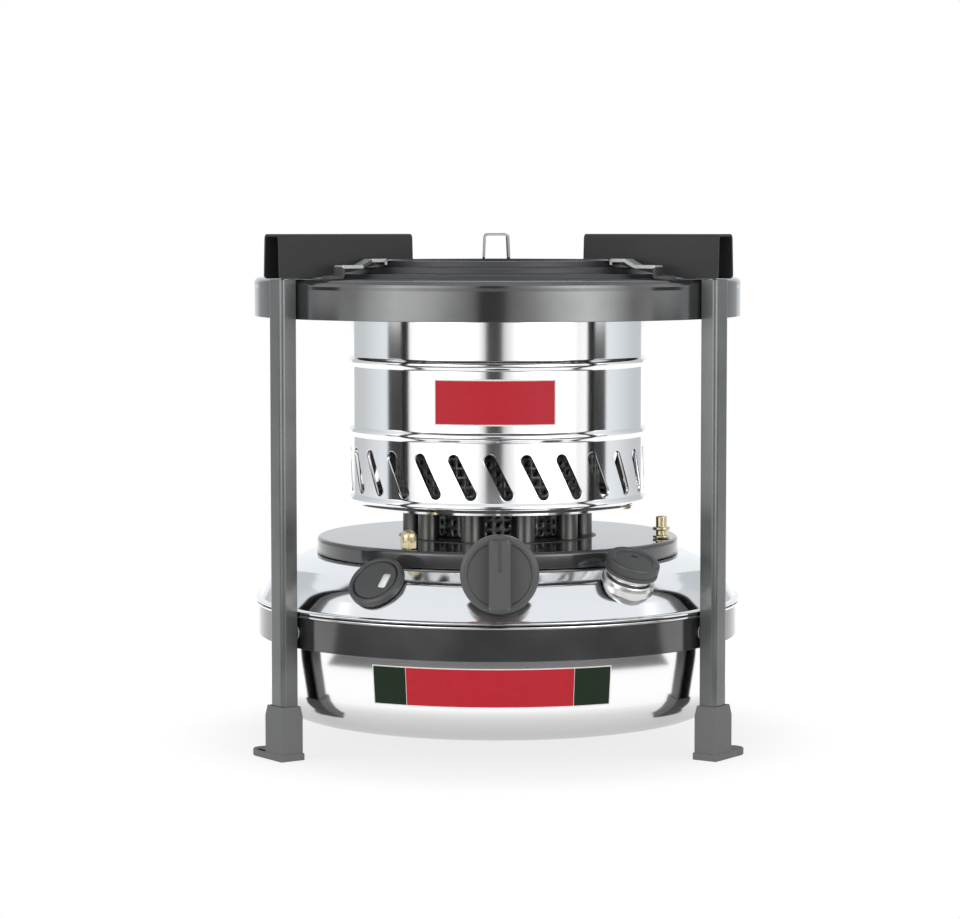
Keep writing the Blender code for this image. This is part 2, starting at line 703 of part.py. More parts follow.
def make_tank_dome(look):
    """Upper half of the tank, cut for the filler neck and the fuel gauge."""
    outline = [
        (SEAM_R, DOME_BASE_Z),
        (SEAM_R, DOME_BASE_Z + TANK_SHEET),
        *shoulder_points(),
        (DOME_CREST_R - DOME_CREST_WIDTH, DOME_CREST_Z),
        (DOME_WELL_R, DOME_WELL_Z),
        (DOME_OPENING_R, DOME_WELL_Z),
    ]
    made = sheet_lathe("tank_dome", outline, TANK_SHEET, RING_STEPS, look)
    holes = bmesh.new()
    reach = NECK_DEPTH + NECK_RISE
    add_lathe(holes, disc_outline(NECK_R + GAP, -reach, reach), SMALL_STEPS, filler_frame())
    reach = GAUGE_STEM_DEPTH + OVERRUN
    add_lathe(holes, disc_outline(GAUGE_STEM_R + GAP, -reach, reach), SMALL_STEPS, gauge_frame())
    carve(made, holes)
    return made


def filler_frame():
    """Frame on the filler's axis, at the tank's shoulder."""
    return spot(FILLER_AZIMUTH, FILLER_SEAT_R, FILLER_SEAT_Z, FILLER_TILT)


def make_filler_neck(look):
    """Open steel tube through the shoulder."""
    mesh = bmesh.new()
    outline = tube_outline(NECK_BORE_R, NECK_R, -NECK_DEPTH, NECK_RISE)
    add_lathe(mesh, outline, SMALL_STEPS, filler_frame())
    return finish("filler_neck", mesh, look, smooth=True)


def make_cap_seal(look, parent):
    """Flat seal on the neck's mouth."""
    mesh = bmesh.new()
    low = NECK_RISE + GAP
    outline = tube_outline(NECK_BORE_R, NECK_R + GAP, low, low + SEAL_THICKNESS)
    add_lathe(mesh, outline, SMALL_STEPS, filler_frame())
    return finish("cap_seal", mesh, look, parent)


def make_filler_cap(look, parent):
    """Black screw cap whose skirt goes over the neck."""
    roof = NECK_RISE + 2 * GAP + SEAL_THICKNESS
    top = roof + CAP_ROOF
    outline = [
        (0, roof),
        (CAP_R - CAP_WALL, roof),
        (CAP_R - CAP_WALL, CAP_SKIRT_BASE),
        (CAP_R, CAP_SKIRT_BASE),
        (CAP_R, top - CAP_EDGE),
        (CAP_R - CAP_EDGE, top),
        (0, top),
    ]
    mesh = bmesh.new()
    add_lathe(mesh, outline, TUBE_STEPS, filler_frame())
    return finish("filler_cap", mesh, look, parent, smooth=True)


def gauge_frame():
    """Frame on the gauge's axis, at the tank's shoulder."""
    return spot(GAUGE_AZIMUTH, GAUGE_SEAT_R, GAUGE_SEAT_Z, GAUGE_TILT)


def make_gauge_body(look):
    """Round flanged body with a sunk face and a stem into the tank."""
    under = GAUGE_RISE
    top = under + GAUGE_FLANGE + GAUGE_WELL
    outline = [
        (0, -GAUGE_STEM_DEPTH),
        (GAUGE_STEM_R, -GAUGE_STEM_DEPTH),
        (GAUGE_STEM_R, under),
        (GAUGE_R, under),
        (GAUGE_R, top - GAUGE_WELL / 2),
        (GAUGE_R - GAUGE_WELL / 2, top),
        (GAUGE_R - GAUGE_RIM, top),
        (GAUGE_R - GAUGE_RIM - GAUGE_WELL / 2, top - GAUGE_WELL),
        (0, top - GAUGE_WELL),
    ]
    mesh = bmesh.new()
    add_lathe(mesh, outline, TUBE_STEPS, gauge_frame())
    return finish("gauge_body", mesh, look, smooth=True)


def make_gauge_lens(look):
    """Clear disc over the gauge's face."""
    low = GAUGE_RISE + GAUGE_FLANGE + GAP
    radius = GAUGE_R - GAUGE_RIM - GAUGE_WELL / 2 - GAP
    mesh = bmesh.new()
    add_lathe(mesh, disc_outline(radius, low, low + LENS_SHEET), TUBE_STEPS, gauge_frame())
    return finish("gauge_lens", mesh, look)


def lever_frame():
    """Frame on the lever's pin, with Z along the pin and X pointing inwards."""
    drop = GAUGE_STEM_DEPTH + GAP + CHEEK_LENGTH - CHEEK_WIDTH / 2
    radius = GAUGE_SEAT_R - drop * math.sin(GAUGE_TILT)
    height = GAUGE_SEAT_Z - drop * math.cos(GAUGE_TILT)
    turn = Matrix(((0, 0, 1, 0), (1, 0, 0, 0), (0, 1, 0, 0), (0, 0, 0, 1)))
    return spot(GAUGE_AZIMUTH, radius, height) @ turn


def make_gauge_bracket(look):
    """Forked bracket under the stem, with the lever's pin across it."""
    start = -GAUGE_STEM_DEPTH - GAP
    half = CHEEK_WIDTH / 2
    reach = CHEEK_SPACING + CHEEK_SHEET
    mesh = bmesh.new()
    add_prism(mesh, rectangle(-reach, reach, -half, half), start - CHEEK_LENGTH, start, gauge_frame())
    made = finish("gauge_bracket", mesh, look)
    gap = bmesh.new()
    outline = rectangle(-CHEEK_SPACING, CHEEK_SPACING, -half - OVERRUN, half + OVERRUN)
    add_prism(gap, outline, start - CHEEK_LENGTH - OVERRUN, start - CHEEK_SHEET, gauge_frame())
    carve(made, gap)
    pin = bmesh.new()
    reach = CHEEK_SPACING + CHEEK_SHEET / 2
    add_lathe(pin, disc_outline(GAUGE_PIN_R, -reach, reach), TINY_STEPS, lever_frame())
    carve(made, pin, "UNION")
    return made


def lever_turn():
    """Frame of the lever and float at rest, drooping from the pin."""
    return lever_frame() @ Matrix.Rotation(-LEVER_DROOP, 4, "Z")


def make_gauge_lever(look, parent):
    """Flat lever with an eye round the pin."""
    mesh = bmesh.new()
    half = LEVER_SHEET / 2
    add_lathe(mesh, disc_outline(LEVER_EYE_R, -half, half), SMALL_STEPS, lever_turn())
    made = finish("gauge_lever", mesh, look, parent)
    arm = bmesh.new()
    outline = rectangle(0, LEVER_LENGTH, -LEVER_WIDTH / 2, LEVER_WIDTH / 2)
    add_prism(arm, outline, -half, half, lever_turn())
    carve(made, arm, "UNION")
    bore = bmesh.new()
    outline = disc_outline(GAUGE_PIN_R + GAP, -LEVER_SHEET, LEVER_SHEET)
    add_lathe(bore, outline, TINY_STEPS, lever_turn())
    carve(made, bore)
    return made


def make_gauge_float(look, parent):
    """Round float on the lever's end."""
    place = lever_turn() @ Matrix.Translation((LEVER_LENGTH + GAP + FLOAT_R, 0, 0))
    half = FLOAT_HEIGHT / 2
    outline = [
        (0, -half),
        (FLOAT_R - FLOAT_EDGE, -half),
        (FLOAT_R, FLOAT_EDGE - half),
        (FLOAT_R, half - FLOAT_EDGE),
        (FLOAT_R - FLOAT_EDGE, half),
        (0, half),
    ]
    mesh = bmesh.new()
    add_lathe(mesh, outline, SMALL_STEPS, place)
    return finish("gauge_float", mesh, look, parent, smooth=True)


def make_deck_plate(look):
    """Shallow polished pan upside down on the dome, notched for the spindle."""
    outline = [
        (DECK_R, DOME_CREST_Z + GAP),
        (DECK_R, DECK_TOP_Z - DECK_EDGE),
        (DECK_R - DECK_EDGE, DECK_TOP_Z),
        (DECK_OPENING_R, DECK_TOP_Z),
    ]
    made = sheet_lathe("deck_plate", outline, DECK_SHEET, RING_STEPS, look)
    holes = bmesh.new()
    half = DECK_NOTCH_WIDTH / 2
    notch = rectangle(-half, half, -DECK_R - OVERRUN, OVERRUN - DECK_R)
    add_prism(holes, notch, DOME_CREST_Z - OVERRUN, SPINDLE_Z + half)
    for azimuth in STUD_AZIMUTHS.values():
        outline = disc_outline(STUD_R + GAP, DECK_UNDER_Z - OVERRUN, DECK_TOP_Z + OVERRUN)
        add_lathe(holes, outline, TINY_STEPS, spot(azimuth, STUD_CIRCLE_R, 0))
    carve(made, holes)
    return made


def make_deck_stud(side, look):
    """Brass screw that stands on the dome, with its nut on the deck."""
    nut_low = DECK_TOP_Z + GAP
    nut_top = nut_low + NUT_HEIGHT
    outline = [
        (0, DOME_WELL_Z + GAP),
        (STUD_R, DOME_WELL_Z + GAP),
        (STUD_R, nut_low),
        (NUT_R, nut_low),
        (NUT_R, nut_top),
        (STUD_R, nut_top),
        (STUD_R, DECK_TOP_Z + STUD_HEIGHT),
        (0, DECK_TOP_Z + STUD_HEIGHT),
    ]
    mesh = bmesh.new()
    add_lathe(mesh, outline, TINY_STEPS, spot(STUD_AZIMUTHS[side], STUD_CIRCLE_R, 0))
    return finish(f"deck_stud_{side}", mesh, look)


def wick_spots(height):
    """Places of the ten wicks, clear of the spindle at the front."""
    step = 2 * math.pi / WICK_COUNT
    return [spot(step * (index + 1 / 2), WICK_RING_R, height) for index in range(WICK_COUNT)]


def works_box():
    """Rectangle that the rack and the pinion need in plan."""
    half = PINION_WIDTH / 2 + HOUSING_CLEARANCE
    left = -(PITCH_R + TOOTH_ROOT + RACK_BACK + HOUSING_CLEARANCE)
    return rectangle(left, PINION_R + HOUSING_CLEARANCE, -half, half)


def make_gallery(look):
    """Round plate in the deck with ten open tubes for the wicks."""
    outline = [
        (0, GALLERY_BASE_Z),
        (GALLERY_R + GALLERY_FLANGE_REACH, GALLERY_BASE_Z),
        (GALLERY_R + GALLERY_FLANGE_REACH, GALLERY_FLANGE_TOP_Z),
        (GALLERY_R, GALLERY_FLANGE_TOP_Z),
        (GALLERY_R, GALLERY_TOP_Z),
        (0, GALLERY_TOP_Z),
    ]
    mesh = bmesh.new()
    add_lathe(mesh, outline, RING_STEPS)
    made = finish("wick_gallery", mesh, look)
    tubes = bmesh.new()
    for place in wick_spots(0):
        add_lathe(tubes, disc_outline(TUBE_OUTER_R, TUBE_BASE_Z, TUBE_TOP_Z), TINY_STEPS, place)
    carve(made, tubes, "UNION")
    holes = bmesh.new()
    low = TUBE_BASE_Z - OVERRUN
    high = TUBE_TOP_Z + OVERRUN
    for place in wick_spots(0):
        add_lathe(holes, disc_outline(TUBE_BORE_R, low, high), TINY_STEPS, place)
    add_prism(holes, works_box(), low, high)
    carve(made, holes)
    return made


def make_wick(number, place, look, parent):
    """One woven wick."""
    mesh = bmesh.new()
    add_lathe(mesh, disc_outline(WICK_R, WICK_BASE_Z, WICK_TOP_Z), TINY_STEPS, place)
    return finish(f"wick_{number}", mesh, look, parent, smooth=True)


def make_carrier(look, parent):
    """Round plate that lifts all the wicks together."""
    mesh = bmesh.new()
    add_lathe(mesh, disc_outline(CARRIER_R, CARRIER_BASE_Z, CARRIER_TOP_Z), TUBE_STEPS)
    made = finish("wick_carrier", mesh, look, parent)
    holes = bmesh.new()
    low = CARRIER_BASE_Z - OVERRUN
    high = CARRIER_TOP_Z + OVERRUN
    for place in wick_spots(0):
        add_lathe(holes, disc_outline(WICK_R + GAP, low, high), TINY_STEPS, place)
    half = PINION_WIDTH / 2 + HOUSING_CLEARANCE
    right = PINION_R + HOUSING_CLEARANCE
    add_prism(holes, rectangle(GAP - PITCH_R - TOOTH_ROOT, right, -half, half), low, high)
    carve(made, holes)
    return made


def make_rack(look, parent):
    """Toothed bar on the carrier, to the left of the pinion."""
    tip = PITCH_R - TOOTH_RISE
    root = PITCH_R + TOOTH_ROOT
    back = root + RACK_BACK
    tip_half = TOOTH_HALF - TOOTH_RISE * math.tan(TOOTH_SLOPE)
    root_half = TOOTH_HALF + TOOTH_ROOT * math.tan(TOOTH_SLOPE)
    outline = [(-back, RACK_BASE_Z), (-root, RACK_BASE_Z)]
    for count in range(-RACK_TEETH_BELOW, RACK_TEETH_ABOVE + 1):
        middle = SPINDLE_Z + count * TOOTH_PITCH
        outline += [
            (-root, middle - root_half),
            (-tip, middle - tip_half),
            (-tip, middle + tip_half),
            (-root, middle + root_half),
        ]
    outline += [(-root, RACK_TOP_Z), (-back, RACK_TOP_Z)]
    mesh = bmesh.new()
    place = Matrix.Rotation(math.pi / 2, 4, "X")
    add_prism(mesh, outline, -RACK_WIDTH / 2, RACK_WIDTH / 2, place)
    return finish("rack", mesh, look, parent)


def make_pinion(look, parent):
    """Small gear on the spindle, with a gap of its teeth level with a tooth of the rack."""
    tip = PITCH_R + TOOTH_RISE
    root = PITCH_R - TOOTH_ROOT
    tip_half = math.asin((TOOTH_HALF - TOOTH_RISE * math.tan(TOOTH_SLOPE)) / tip)
    root_half = math.asin((TOOTH_HALF + TOOTH_ROOT * math.tan(TOOTH_SLOPE)) / root)
    outline = []
    for count in range(TOOTH_COUNT):
        middle = 2 * math.pi * (count + 1 / 2) / TOOTH_COUNT
        corners = ((root, -root_half), (tip, -tip_half), (tip, tip_half), (root, root_half))
        for radius, turn in corners:
            outline.append((radius * math.cos(middle + turn), radius * math.sin(middle + turn)))
    half = PINION_WIDTH / 2
    mesh = bmesh.new()
    add_prism(mesh, outline, -half, half, forward_frame(0))
    made = finish("pinion", mesh, look, parent)
    bore = bmesh.new()
    outline = disc_outline(SPINDLE_R + GAP, -PINION_WIDTH, PINION_WIDTH)
    add_lathe(bore, outline, SMALL_STEPS, forward_frame(0))
    carve(made, bore)
    return made


def make_spindle(look, parent):
    """Thin shaft from the knob to its bracket behind the pinion."""
    front = -KNOB_BACK_Y + KNOB_BORE_DEPTH - GAP
    mesh = bmesh.new()
    outline = disc_outline(SPINDLE_R, -SPINDLE_TAIL, front)
    add_lathe(mesh, outline, SMALL_STEPS, forward_frame(0))
    return finish("spindle", mesh, look, parent, smooth=True)


def make_bracket(look):
    """Plate under the gallery that carries the spindle's rear end."""
    near = PINION_WIDTH / 2 + HOUSING_CLEARANCE + BRACKET_PLAY
    half = BRACKET_WIDTH / 2
    mesh = bmesh.new()
    outline = rectangle(-half, half, near, near + BRACKET_THICKNESS)
    add_prism(mesh, outline, SPINDLE_Z - half, GALLERY_BASE_Z - GAP)
    made = finish("spindle_bracket", mesh, look)
    bore = bmesh.new()
    far = near + BRACKET_THICKNESS + OVERRUN
    add_lathe(bore, disc_outline(SPINDLE_R + GAP, -far, 0), SMALL_STEPS, forward_frame(0))
    carve(made, bore)
    return made


def make_housing(look):
    """Box over the rack and the pinion, in the middle of the gallery."""
    (left, front), (right, _), (_, back), _ = works_box()
    low = GALLERY_TOP_Z + GAP
    high = RACK_TOP_Z + WICK_TRAVEL + HOUSING_CLEARANCE
    outer = rectangle(
        left - HOUSING_SHEET, right + HOUSING_SHEET, front - HOUSING_SHEET, back + HOUSING_SHEET
    )
    mesh = bmesh.new()
    add_prism(mesh, outer, low, high + HOUSING_SHEET)
    made = finish("rack_housing", mesh, look)
    hollow = bmesh.new()
    add_prism(hollow, rectangle(left, right, front, back), low - OVERRUN, high)
    carve(made, hollow)
    return made


def make_knob(look, parent):
    """Round knob with an upright grip rib and a hub for the spindle."""
    place = forward_frame(KNOB_BACK_Y)
    outline = [
        (0, -KNOB_HUB_LENGTH),
        (KNOB_HUB_R, -KNOB_HUB_LENGTH),
        (KNOB_HUB_R, 0),
        (KNOB_R - KNOB_EDGE, 0),
        (KNOB_R, KNOB_EDGE),
        (KNOB_R, KNOB_DISC - KNOB_EDGE),
        (KNOB_R - KNOB_EDGE, KNOB_DISC),
        (0, KNOB_DISC),
    ]
    mesh = bmesh.new()
    add_lathe(mesh, outline, TUBE_STEPS, place)
    made = finish("knob", mesh, look, parent)
    half_x = KNOB_RIB_WIDTH / 2
    half_y = KNOB_R * KNOB_RIB_LENGTH_SHARE
    rib = bmesh.new()
    levels = (
        (half_x, half_y, KNOB_DISC - KNOB_EDGE / 2),
        (half_x - KNOB_RIB_DRAFT, half_y - KNOB_RIB_DRAFT, KNOB_THICKNESS),
    )
    add_stack(rib, levels, place)
    carve(made, rib, "UNION")
    bore = bmesh.new()
    outline = disc_outline(SPINDLE_R + GAP, -KNOB_HUB_LENGTH - OVERRUN, KNOB_BORE_DEPTH)
    add_lathe(bore, outline, SMALL_STEPS, place)
    carve(made, bore)
    return made


def make_casing(look, parent):
    """Polished casing with three beads and a row of leaning slots."""
    outline = [(CASING_R, CASING_BASE_Z)]
    for level in BEAD_LEVELS:
        outline.append((CASING_R, level - BEAD_HALF))
        outline.append((CASING_R + BEAD_PROUD, level))
        outline.append((CASING_R, level + BEAD_HALF))
    outline.append((CASING_R, CASING_TOP_Z))
    made = sheet_lathe("casing", outline, CASING_SHEET, CASING_STEPS, look, parent)
    carve(made, slot_tools())
    return made


def slot_tools():
    """Cutters for the slots: round-ended, and leaning to the left towards the top."""
    straight = (SLOT_HEIGHT - SLOT_WIDTH) / (2 * math.cos(SLOT_LEAN))
    radius = SLOT_WIDTH / 2
    outline = []
    for end, start in ((1, 0), (-1, math.pi)):
        for step in range(SLOT_END_STEPS + 1):
            turn = start + math.pi * step / SLOT_END_STEPS
            outline.append((radius * math.cos(turn), end * straight + radius * math.sin(turn)))
    tools = bmesh.new()
    stand = Matrix.Rotation(math.pi / 2, 4, "X") @ Matrix.Rotation(SLOT_LEAN, 4, "Z")
    for index in range(SLOT_COUNT):
        place = spot(2 * math.pi * index / SLOT_COUNT, CASING_R, SLOT_MIDDLE_Z) @ stand
        add_prism(tools, outline, -OVERRUN, OVERRUN, place)
    return tools


def make_outer_spreader(look, parent):
    """Tube outside the wicks, with holes for the cross pins."""
    mesh = bmesh.new()
    inner = OUTER_SPREADER_R - SPREADER_SHEET
    add_lathe(
        mesh,
        tube_outline(inner, OUTER_SPREADER_R, OUTER_SPREADER_BASE_Z, OUTER_SPREADER_TOP_Z),
        RING_STEPS,
    )
    made = finish("outer_spreader", mesh, look, parent)
    holes = bmesh.new()
    for azimuth in CROSS_PIN_AZIMUTHS.values():
        place = spot(azimuth, OUTER_SPREADER_R, CROSS_PIN_Z, math.pi / 2)
        add_lathe(holes, disc_outline(CROSS_PIN_R + GAP, -OVERRUN, OVERRUN), TINY_STEPS, place)
    carve(made, holes)
    return made


def make_inner_spreader(look, parent):
    """Tube inside the wicks, which stands on the gallery and carries the drum."""
    mesh = bmesh.new()
    inner = INNER_SPREADER_R - SPREADER_SHEET
    outline = tube_outline(inner, INNER_SPREADER_R, GALLERY_TOP_Z + GAP, INNER_SPREADER_TOP_Z)
    add_lathe(mesh, outline, TUBE_STEPS)
    return finish("inner_spreader", mesh, look, parent)


def make_spreader_cap(look, parent):
    """Shallow lid on the inner spreader."""
    low = INNER_SPREADER_TOP_Z + GAP
    mesh = bmesh.new()
    outline = [
        (0, low),
        (INNER_SPREADER_R, low),
        (INNER_SPREADER_R, low + SPREADER_CAP_RISE / 2),
        (INNER_SPREADER_R - SPREADER_CAP_EDGE, low + SPREADER_CAP_RISE),
        (0, low + SPREADER_CAP_RISE),
    ]
    add_lathe(mesh, outline, TUBE_STEPS)
    return finish("spreader_cap", mesh, look, parent, smooth=False)


def make_cross_pin(side, look, parent):
    """Radial pin that holds both spreaders inside the casing."""
    start = INNER_SPREADER_R + GAP
    end = CASING_R - CASING_SHEET - CROSS_PIN_END_PLAY
    place = spot(CROSS_PIN_AZIMUTHS[side], start, CROSS_PIN_Z, math.pi / 2)
    mesh = bmesh.new()
    add_lathe(mesh, disc_outline(CROSS_PIN_R, 0, end - start), TINY_STEPS, place)
    return finish(f"cross_pin_{side}", mesh, look, parent)


def make_frame_pieces(looks):
    """Legs, feet, rings, supports, shield and lugs."""
    for side in LEG_AZIMUTHS:
        make_leg(side, looks["painted_grey"])
        make_foot(side, looks["foot_plastic"])
        make_support(side, looks["black_enamel"])
        make_rivet(side, looks["bright_steel"])
    make_top_ring(looks["grey_steel"])
    make_tank_ring(looks["dark_steel"])
    make_heat_shield(looks["black_enamel"])
    for side in LUG_AZIMUTHS:
        make_lug(side, looks["bright_steel"])


def make_tank_pieces(looks):
    """Tank, filler, gauge and deck."""
    make_tank_pan(looks["polished_steel"])
    make_tank_dome(looks["polished_steel"])
    make_filler_neck(looks["bright_steel"])
    cap_axis = axis_empty("filler_cap_axis", filler_frame().to_translation())
    make_cap_seal(looks["rubber"], cap_axis)
    make_filler_cap(looks["black_plastic"], cap_axis)
    make_gauge_body(looks["black_plastic"])
    make_gauge_lens(looks["clear_plastic"])
    make_gauge_bracket(looks["bright_steel"])
    float_axis = axis_empty("gauge_float_axis", lever_frame().to_translation())
    make_gauge_lever(looks["bright_steel"], float_axis)
    make_gauge_float(looks["cork"], float_axis)
    make_deck_plate(looks["gloss_enamel"])
    for side in STUD_AZIMUTHS:
        make_deck_stud(side, looks["brass"])


def make_wick_pieces(looks):
    """Gallery, wicks and the works that lift them."""
    make_gallery(looks["dark_steel"])
    make_housing(looks["dark_steel"])
    make_bracket(looks["dark_steel"])
    knob_axis = axis_empty("wick_knob_axis", Vector((0, 0, SPINDLE_Z)))
    make_knob(looks["knob_plastic"], knob_axis)
    make_spindle(looks["bright_steel"], knob_axis)
    make_pinion(looks["brass"], knob_axis)
    carrier_axis = axis_empty("wick_carrier_axis", Vector((0, 0, CARRIER_BASE_Z)))
    make_carrier(looks["dark_steel"], carrier_axis)
    make_rack(looks["brass"], carrier_axis)
    for number, place in enumerate(wick_spots(0), start=1):
        make_wick(number, place, looks["wick_cotton"], carrier_axis)


def make_drum_pieces(looks):
    """Casing, spreaders and their pins, which lift together."""
    drum_axis = axis_empty("drum_axis", Vector((0, 0, CASING_BASE_Z)))
    make_casing(looks["polished_steel"], drum_axis)
    dark = looks["black_enamel"]
    make_outer_spreader(dark, drum_axis)
    make_inner_spreader(dark, drum_axis)
    make_spreader_cap(dark, drum_axis)
    for side in CROSS_PIN_AZIMUTHS:
        make_cross_pin(side, looks["bright_steel"], drum_axis)


def make_looks():
    """All materials by name."""
    return {
        "painted_grey": material("painted_grey", (0.13, 0.13, 0.13), 0.2, 0.42),
        "grey_steel": material("grey_steel", (0.30, 0.30, 0.31), 0.8, 0.35),
        "dark_steel": material("dark_steel", (0.07, 0.07, 0.075), 0.7, 0.45),
        "bright_steel": material("bright_steel", (0.62, 0.62, 0.61), 1.0, 0.25),
        "polished_steel": material("polished_steel", (0.78, 0.78, 0.79), 1.0, 0.12),
        "black_enamel": material("black_enamel", (0.045, 0.045, 0.047), 0.1, 0.5),
        "gloss_enamel": material("gloss_enamel", (0.03, 0.03, 0.032), 0.0, 0.18),
        "foot_plastic": material("foot_plastic", (0.12, 0.12, 0.12), 0.0, 0.6),
        "knob_plastic": material("knob_plastic", (0.07, 0.07, 0.07), 0.0, 0.5),
        "black_plastic": material("black_plastic", (0.05, 0.05, 0.05), 0.0, 0.4),
        "clear_plastic": material("clear_plastic", (0.6, 0.62, 0.62), 0.0, 0.1),
        "brass": material("brass", (0.60, 0.52, 0.33), 1.0, 0.3),
        "rubber": material("rubber", (0.03, 0.03, 0.03), 0.0, 0.8),
        "cork": material("cork", (0.45, 0.28, 0.14), 0.0, 0.9),
        "wick_cotton": material("wick_cotton", (0.75, 0.73, 0.66), 0.0, 0.95),
    }


def main():
    """Build the whole stove."""
    clear_scene()
    looks = make_looks()
    make_frame_pieces(looks)
    make_tank_pieces(looks)
    make_wick_pieces(looks)
    make_drum_pieces(looks)


if __name__ == "__main__":
    main()
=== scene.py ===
"""Looks of a kerosene wick stove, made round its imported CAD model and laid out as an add-on."""

import math

import bmesh
import bpy
from bpy.props import FloatProperty, FloatVectorProperty, IntProperty, PointerProperty
from mathutils import Matrix, Vector


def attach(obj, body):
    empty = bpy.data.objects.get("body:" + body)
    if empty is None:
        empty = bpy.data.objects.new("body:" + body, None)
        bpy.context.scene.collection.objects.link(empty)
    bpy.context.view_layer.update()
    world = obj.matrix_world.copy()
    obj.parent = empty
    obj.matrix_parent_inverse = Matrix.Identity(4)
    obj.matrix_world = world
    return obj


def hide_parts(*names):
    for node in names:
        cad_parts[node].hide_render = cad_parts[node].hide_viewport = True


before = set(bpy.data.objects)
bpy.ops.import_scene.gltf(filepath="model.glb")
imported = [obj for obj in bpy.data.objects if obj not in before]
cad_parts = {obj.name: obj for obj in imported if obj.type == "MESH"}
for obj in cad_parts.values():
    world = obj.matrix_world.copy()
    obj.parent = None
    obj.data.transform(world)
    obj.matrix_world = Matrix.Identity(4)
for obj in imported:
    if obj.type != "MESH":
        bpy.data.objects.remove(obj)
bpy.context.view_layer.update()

bl_info = {
    "name": "Kerosene Wick Stove",
    "version": (1, 0, 0),
    "blender": (4, 5, 0),
    "location": "3D View > Sidebar > Stove",
    "description": "Builds the finished surfaces of a kerosene wick stove round its CAD model",
    "category": "Add Mesh",
}

# Vertices closer than this are one.
MERGE = 0.000002
FULL_TURN = 2 * math.pi
LEG_AZIMUTHS = {"left": math.radians(-55), "right": math.radians(55), "rear": math.radians(180)}
LUG_AZIMUTHS = {"left": math.radians(-45), "right": math.radians(45), "rear": math.radians(180)}
STUD_AZIMUTHS = {"left": math.radians(-31), "right": math.radians(76), "rear": math.radians(200)}
PIN_AZIMUTHS = {"front": 0, "right": math.radians(108), "left": math.radians(252)}
IMAGE_WIDTH = 960
# How squarely a face has to look one way before it takes that side's finish: on the lugs the faces
# that look neither up nor along take painted shade, and on the supports the inward cut edges take
# a painted reflection.
FACES_UP, FACES_ALONG, FACES_INWARD = 0.4, 0.8, 0.95
# Height on the axis from which the faces of the dome and the deck look away.
FAR_BELOW = -0.2
# Rounding of the edges of small turned pieces.
FINE_EDGE = 0.0002

# Corners of outlines: radius, height and rounding.
SKIRT_STEPS = [(0.0719, 0.2480, 0.0012), (0.0819, 0.2448, 0.0012), (0.0969, 0.2416, 0.0012)]
# Where a support's cut edge comes down to its seat: radius and rounding.
SKIRT_HEEL = (0.1185, 0.0030)
DOME_SHOULDER = [
    (0.1229, 0.0743, 0.0014), (0.1180, 0.0835, 0.0250), (0.1103, 0.0915, 0.0120),
    (0.0985, 0.0963, 0.0100), (0.0915, 0.0964, 0.0014), (0.0890, 0.0942, 0.0014),
    (0.0580, 0.0942, 0),
]
# Where the casing's beads run, as shares of its height, and how their curves are rounded.
BEAD_SHARES = (0.0323, 0.3362, 0.648)
BEAD_FOOT, BEAD_CREST = 0.0016, 0.0026
# Edge of a slot's lip: how much wider than the slot, and how deep under the wall.
LIP_EDGE = ((0.00045, -0.00004), (0.00015, 0.00003), (0, 0.0003))
# Plates: name, finish, left and right edge, lower and upper edge, and how far the face is proud.
UPPER_PLATE = (
    ("upper_plate_border", "label_line", -0.0320, 0.0285, 0.1660, 0.1891, 0.00020),
    ("upper_plate_face", "label_red", -0.0312, 0.0277, 0.1667, 0.1883, 0.00034),
)
LOWER_PLATE = (
    ("lower_plate_border", "label_line", -0.0613, 0.0541, 0.0322, 0.0516, 0.00022),
    ("lower_plate_face", "label_red", -0.0450, 0.0360, 0.0327, 0.0511, 0.00036),
    ("lower_plate_left", "label_end", -0.0608, -0.0453, 0.0327, 0.0511, 0.00036),
    ("lower_plate_right", "label_end", 0.0363, 0.0536, 0.0327, 0.0511, 0.00036),
)
# Lamps and cards: name, azimuth and half the width as seen from the stove, in degrees.
SOFTBOXES = (("left_softbox", -41.5, 33.5), ("right_softbox", 35.5, 29.5))
DARK_CARDS = (("left_card", -83, 8.5), ("right_card", 80.4, 8.8))
CARD_DARK, CARD_GREY = 0.05, 0.18
# Grey card in front of the stove: nearest and furthest radius, height, and its sweep in degrees.
FLOOR_CARD = (0.30, 1.15, 0.001, 150)
FLOOR_WIDTH = 12.0
# How far the softboxes reach under the floor, so that no dark gap shows at their feet.
BOX_SINK = 0.02
# Casts of the room and of the panels behind the stove, as its mirrors see them.
COOL_ROOM, COOL_PANEL = (0.98, 1.02, 1.05), (0.95, 1.0, 1.035)
# Glow of the panels that the mirrors see: azimuth in degrees from the front, and brightness.
PANEL_REACH = 150
PANEL_LEVELS = (
    (-PANEL_REACH, 0.6), (-127, 0.66), (-92, 0.98), (-86, 1.5), (-72, 1.25), (-66, 1.2),
    (-60, 2.2), (-47, 3.9), (-31, 2.7), (-10, 0.85), (-8.2, 0.03), (2.6, 0.03), (4, 0.75),
    (15, 1.4), (34, 4.5), (40, 4.7), (50, 3.1), (62, 1.05), (82, 1.6), (92, 0.98), (127, 0.66),
    (PANEL_REACH, 0.6),
)


def size(description, metres):
    """A length that a user may change, in metres."""
    return FloatProperty(description=description, default=metres, unit="LENGTH", precision=5)


def angle(description, degrees):
    """An angle that a user may change, given here in degrees."""
    return FloatProperty(description=description, default=math.radians(degrees), subtype="ANGLE")


def count(description, number):
    """A whole number that a user may change."""
    return IntProperty(description=description, default=number, min=3)


def amount(description, value):
    """A level, or another plain number, that a user may change."""
    return FloatProperty(description=description, default=value, min=0)


def colour(description, value):
    """A linear colour that a user may change."""
    return FloatVectorProperty(
        description=description, default=value, subtype="COLOR", min=0, max=1
    )


def lengths(description, metres):
    """A row of lengths that a user may change, in metres."""
    return FloatVectorProperty(
        description=description, default=metres, size=len(metres), unit="LENGTH", precision=5
    )


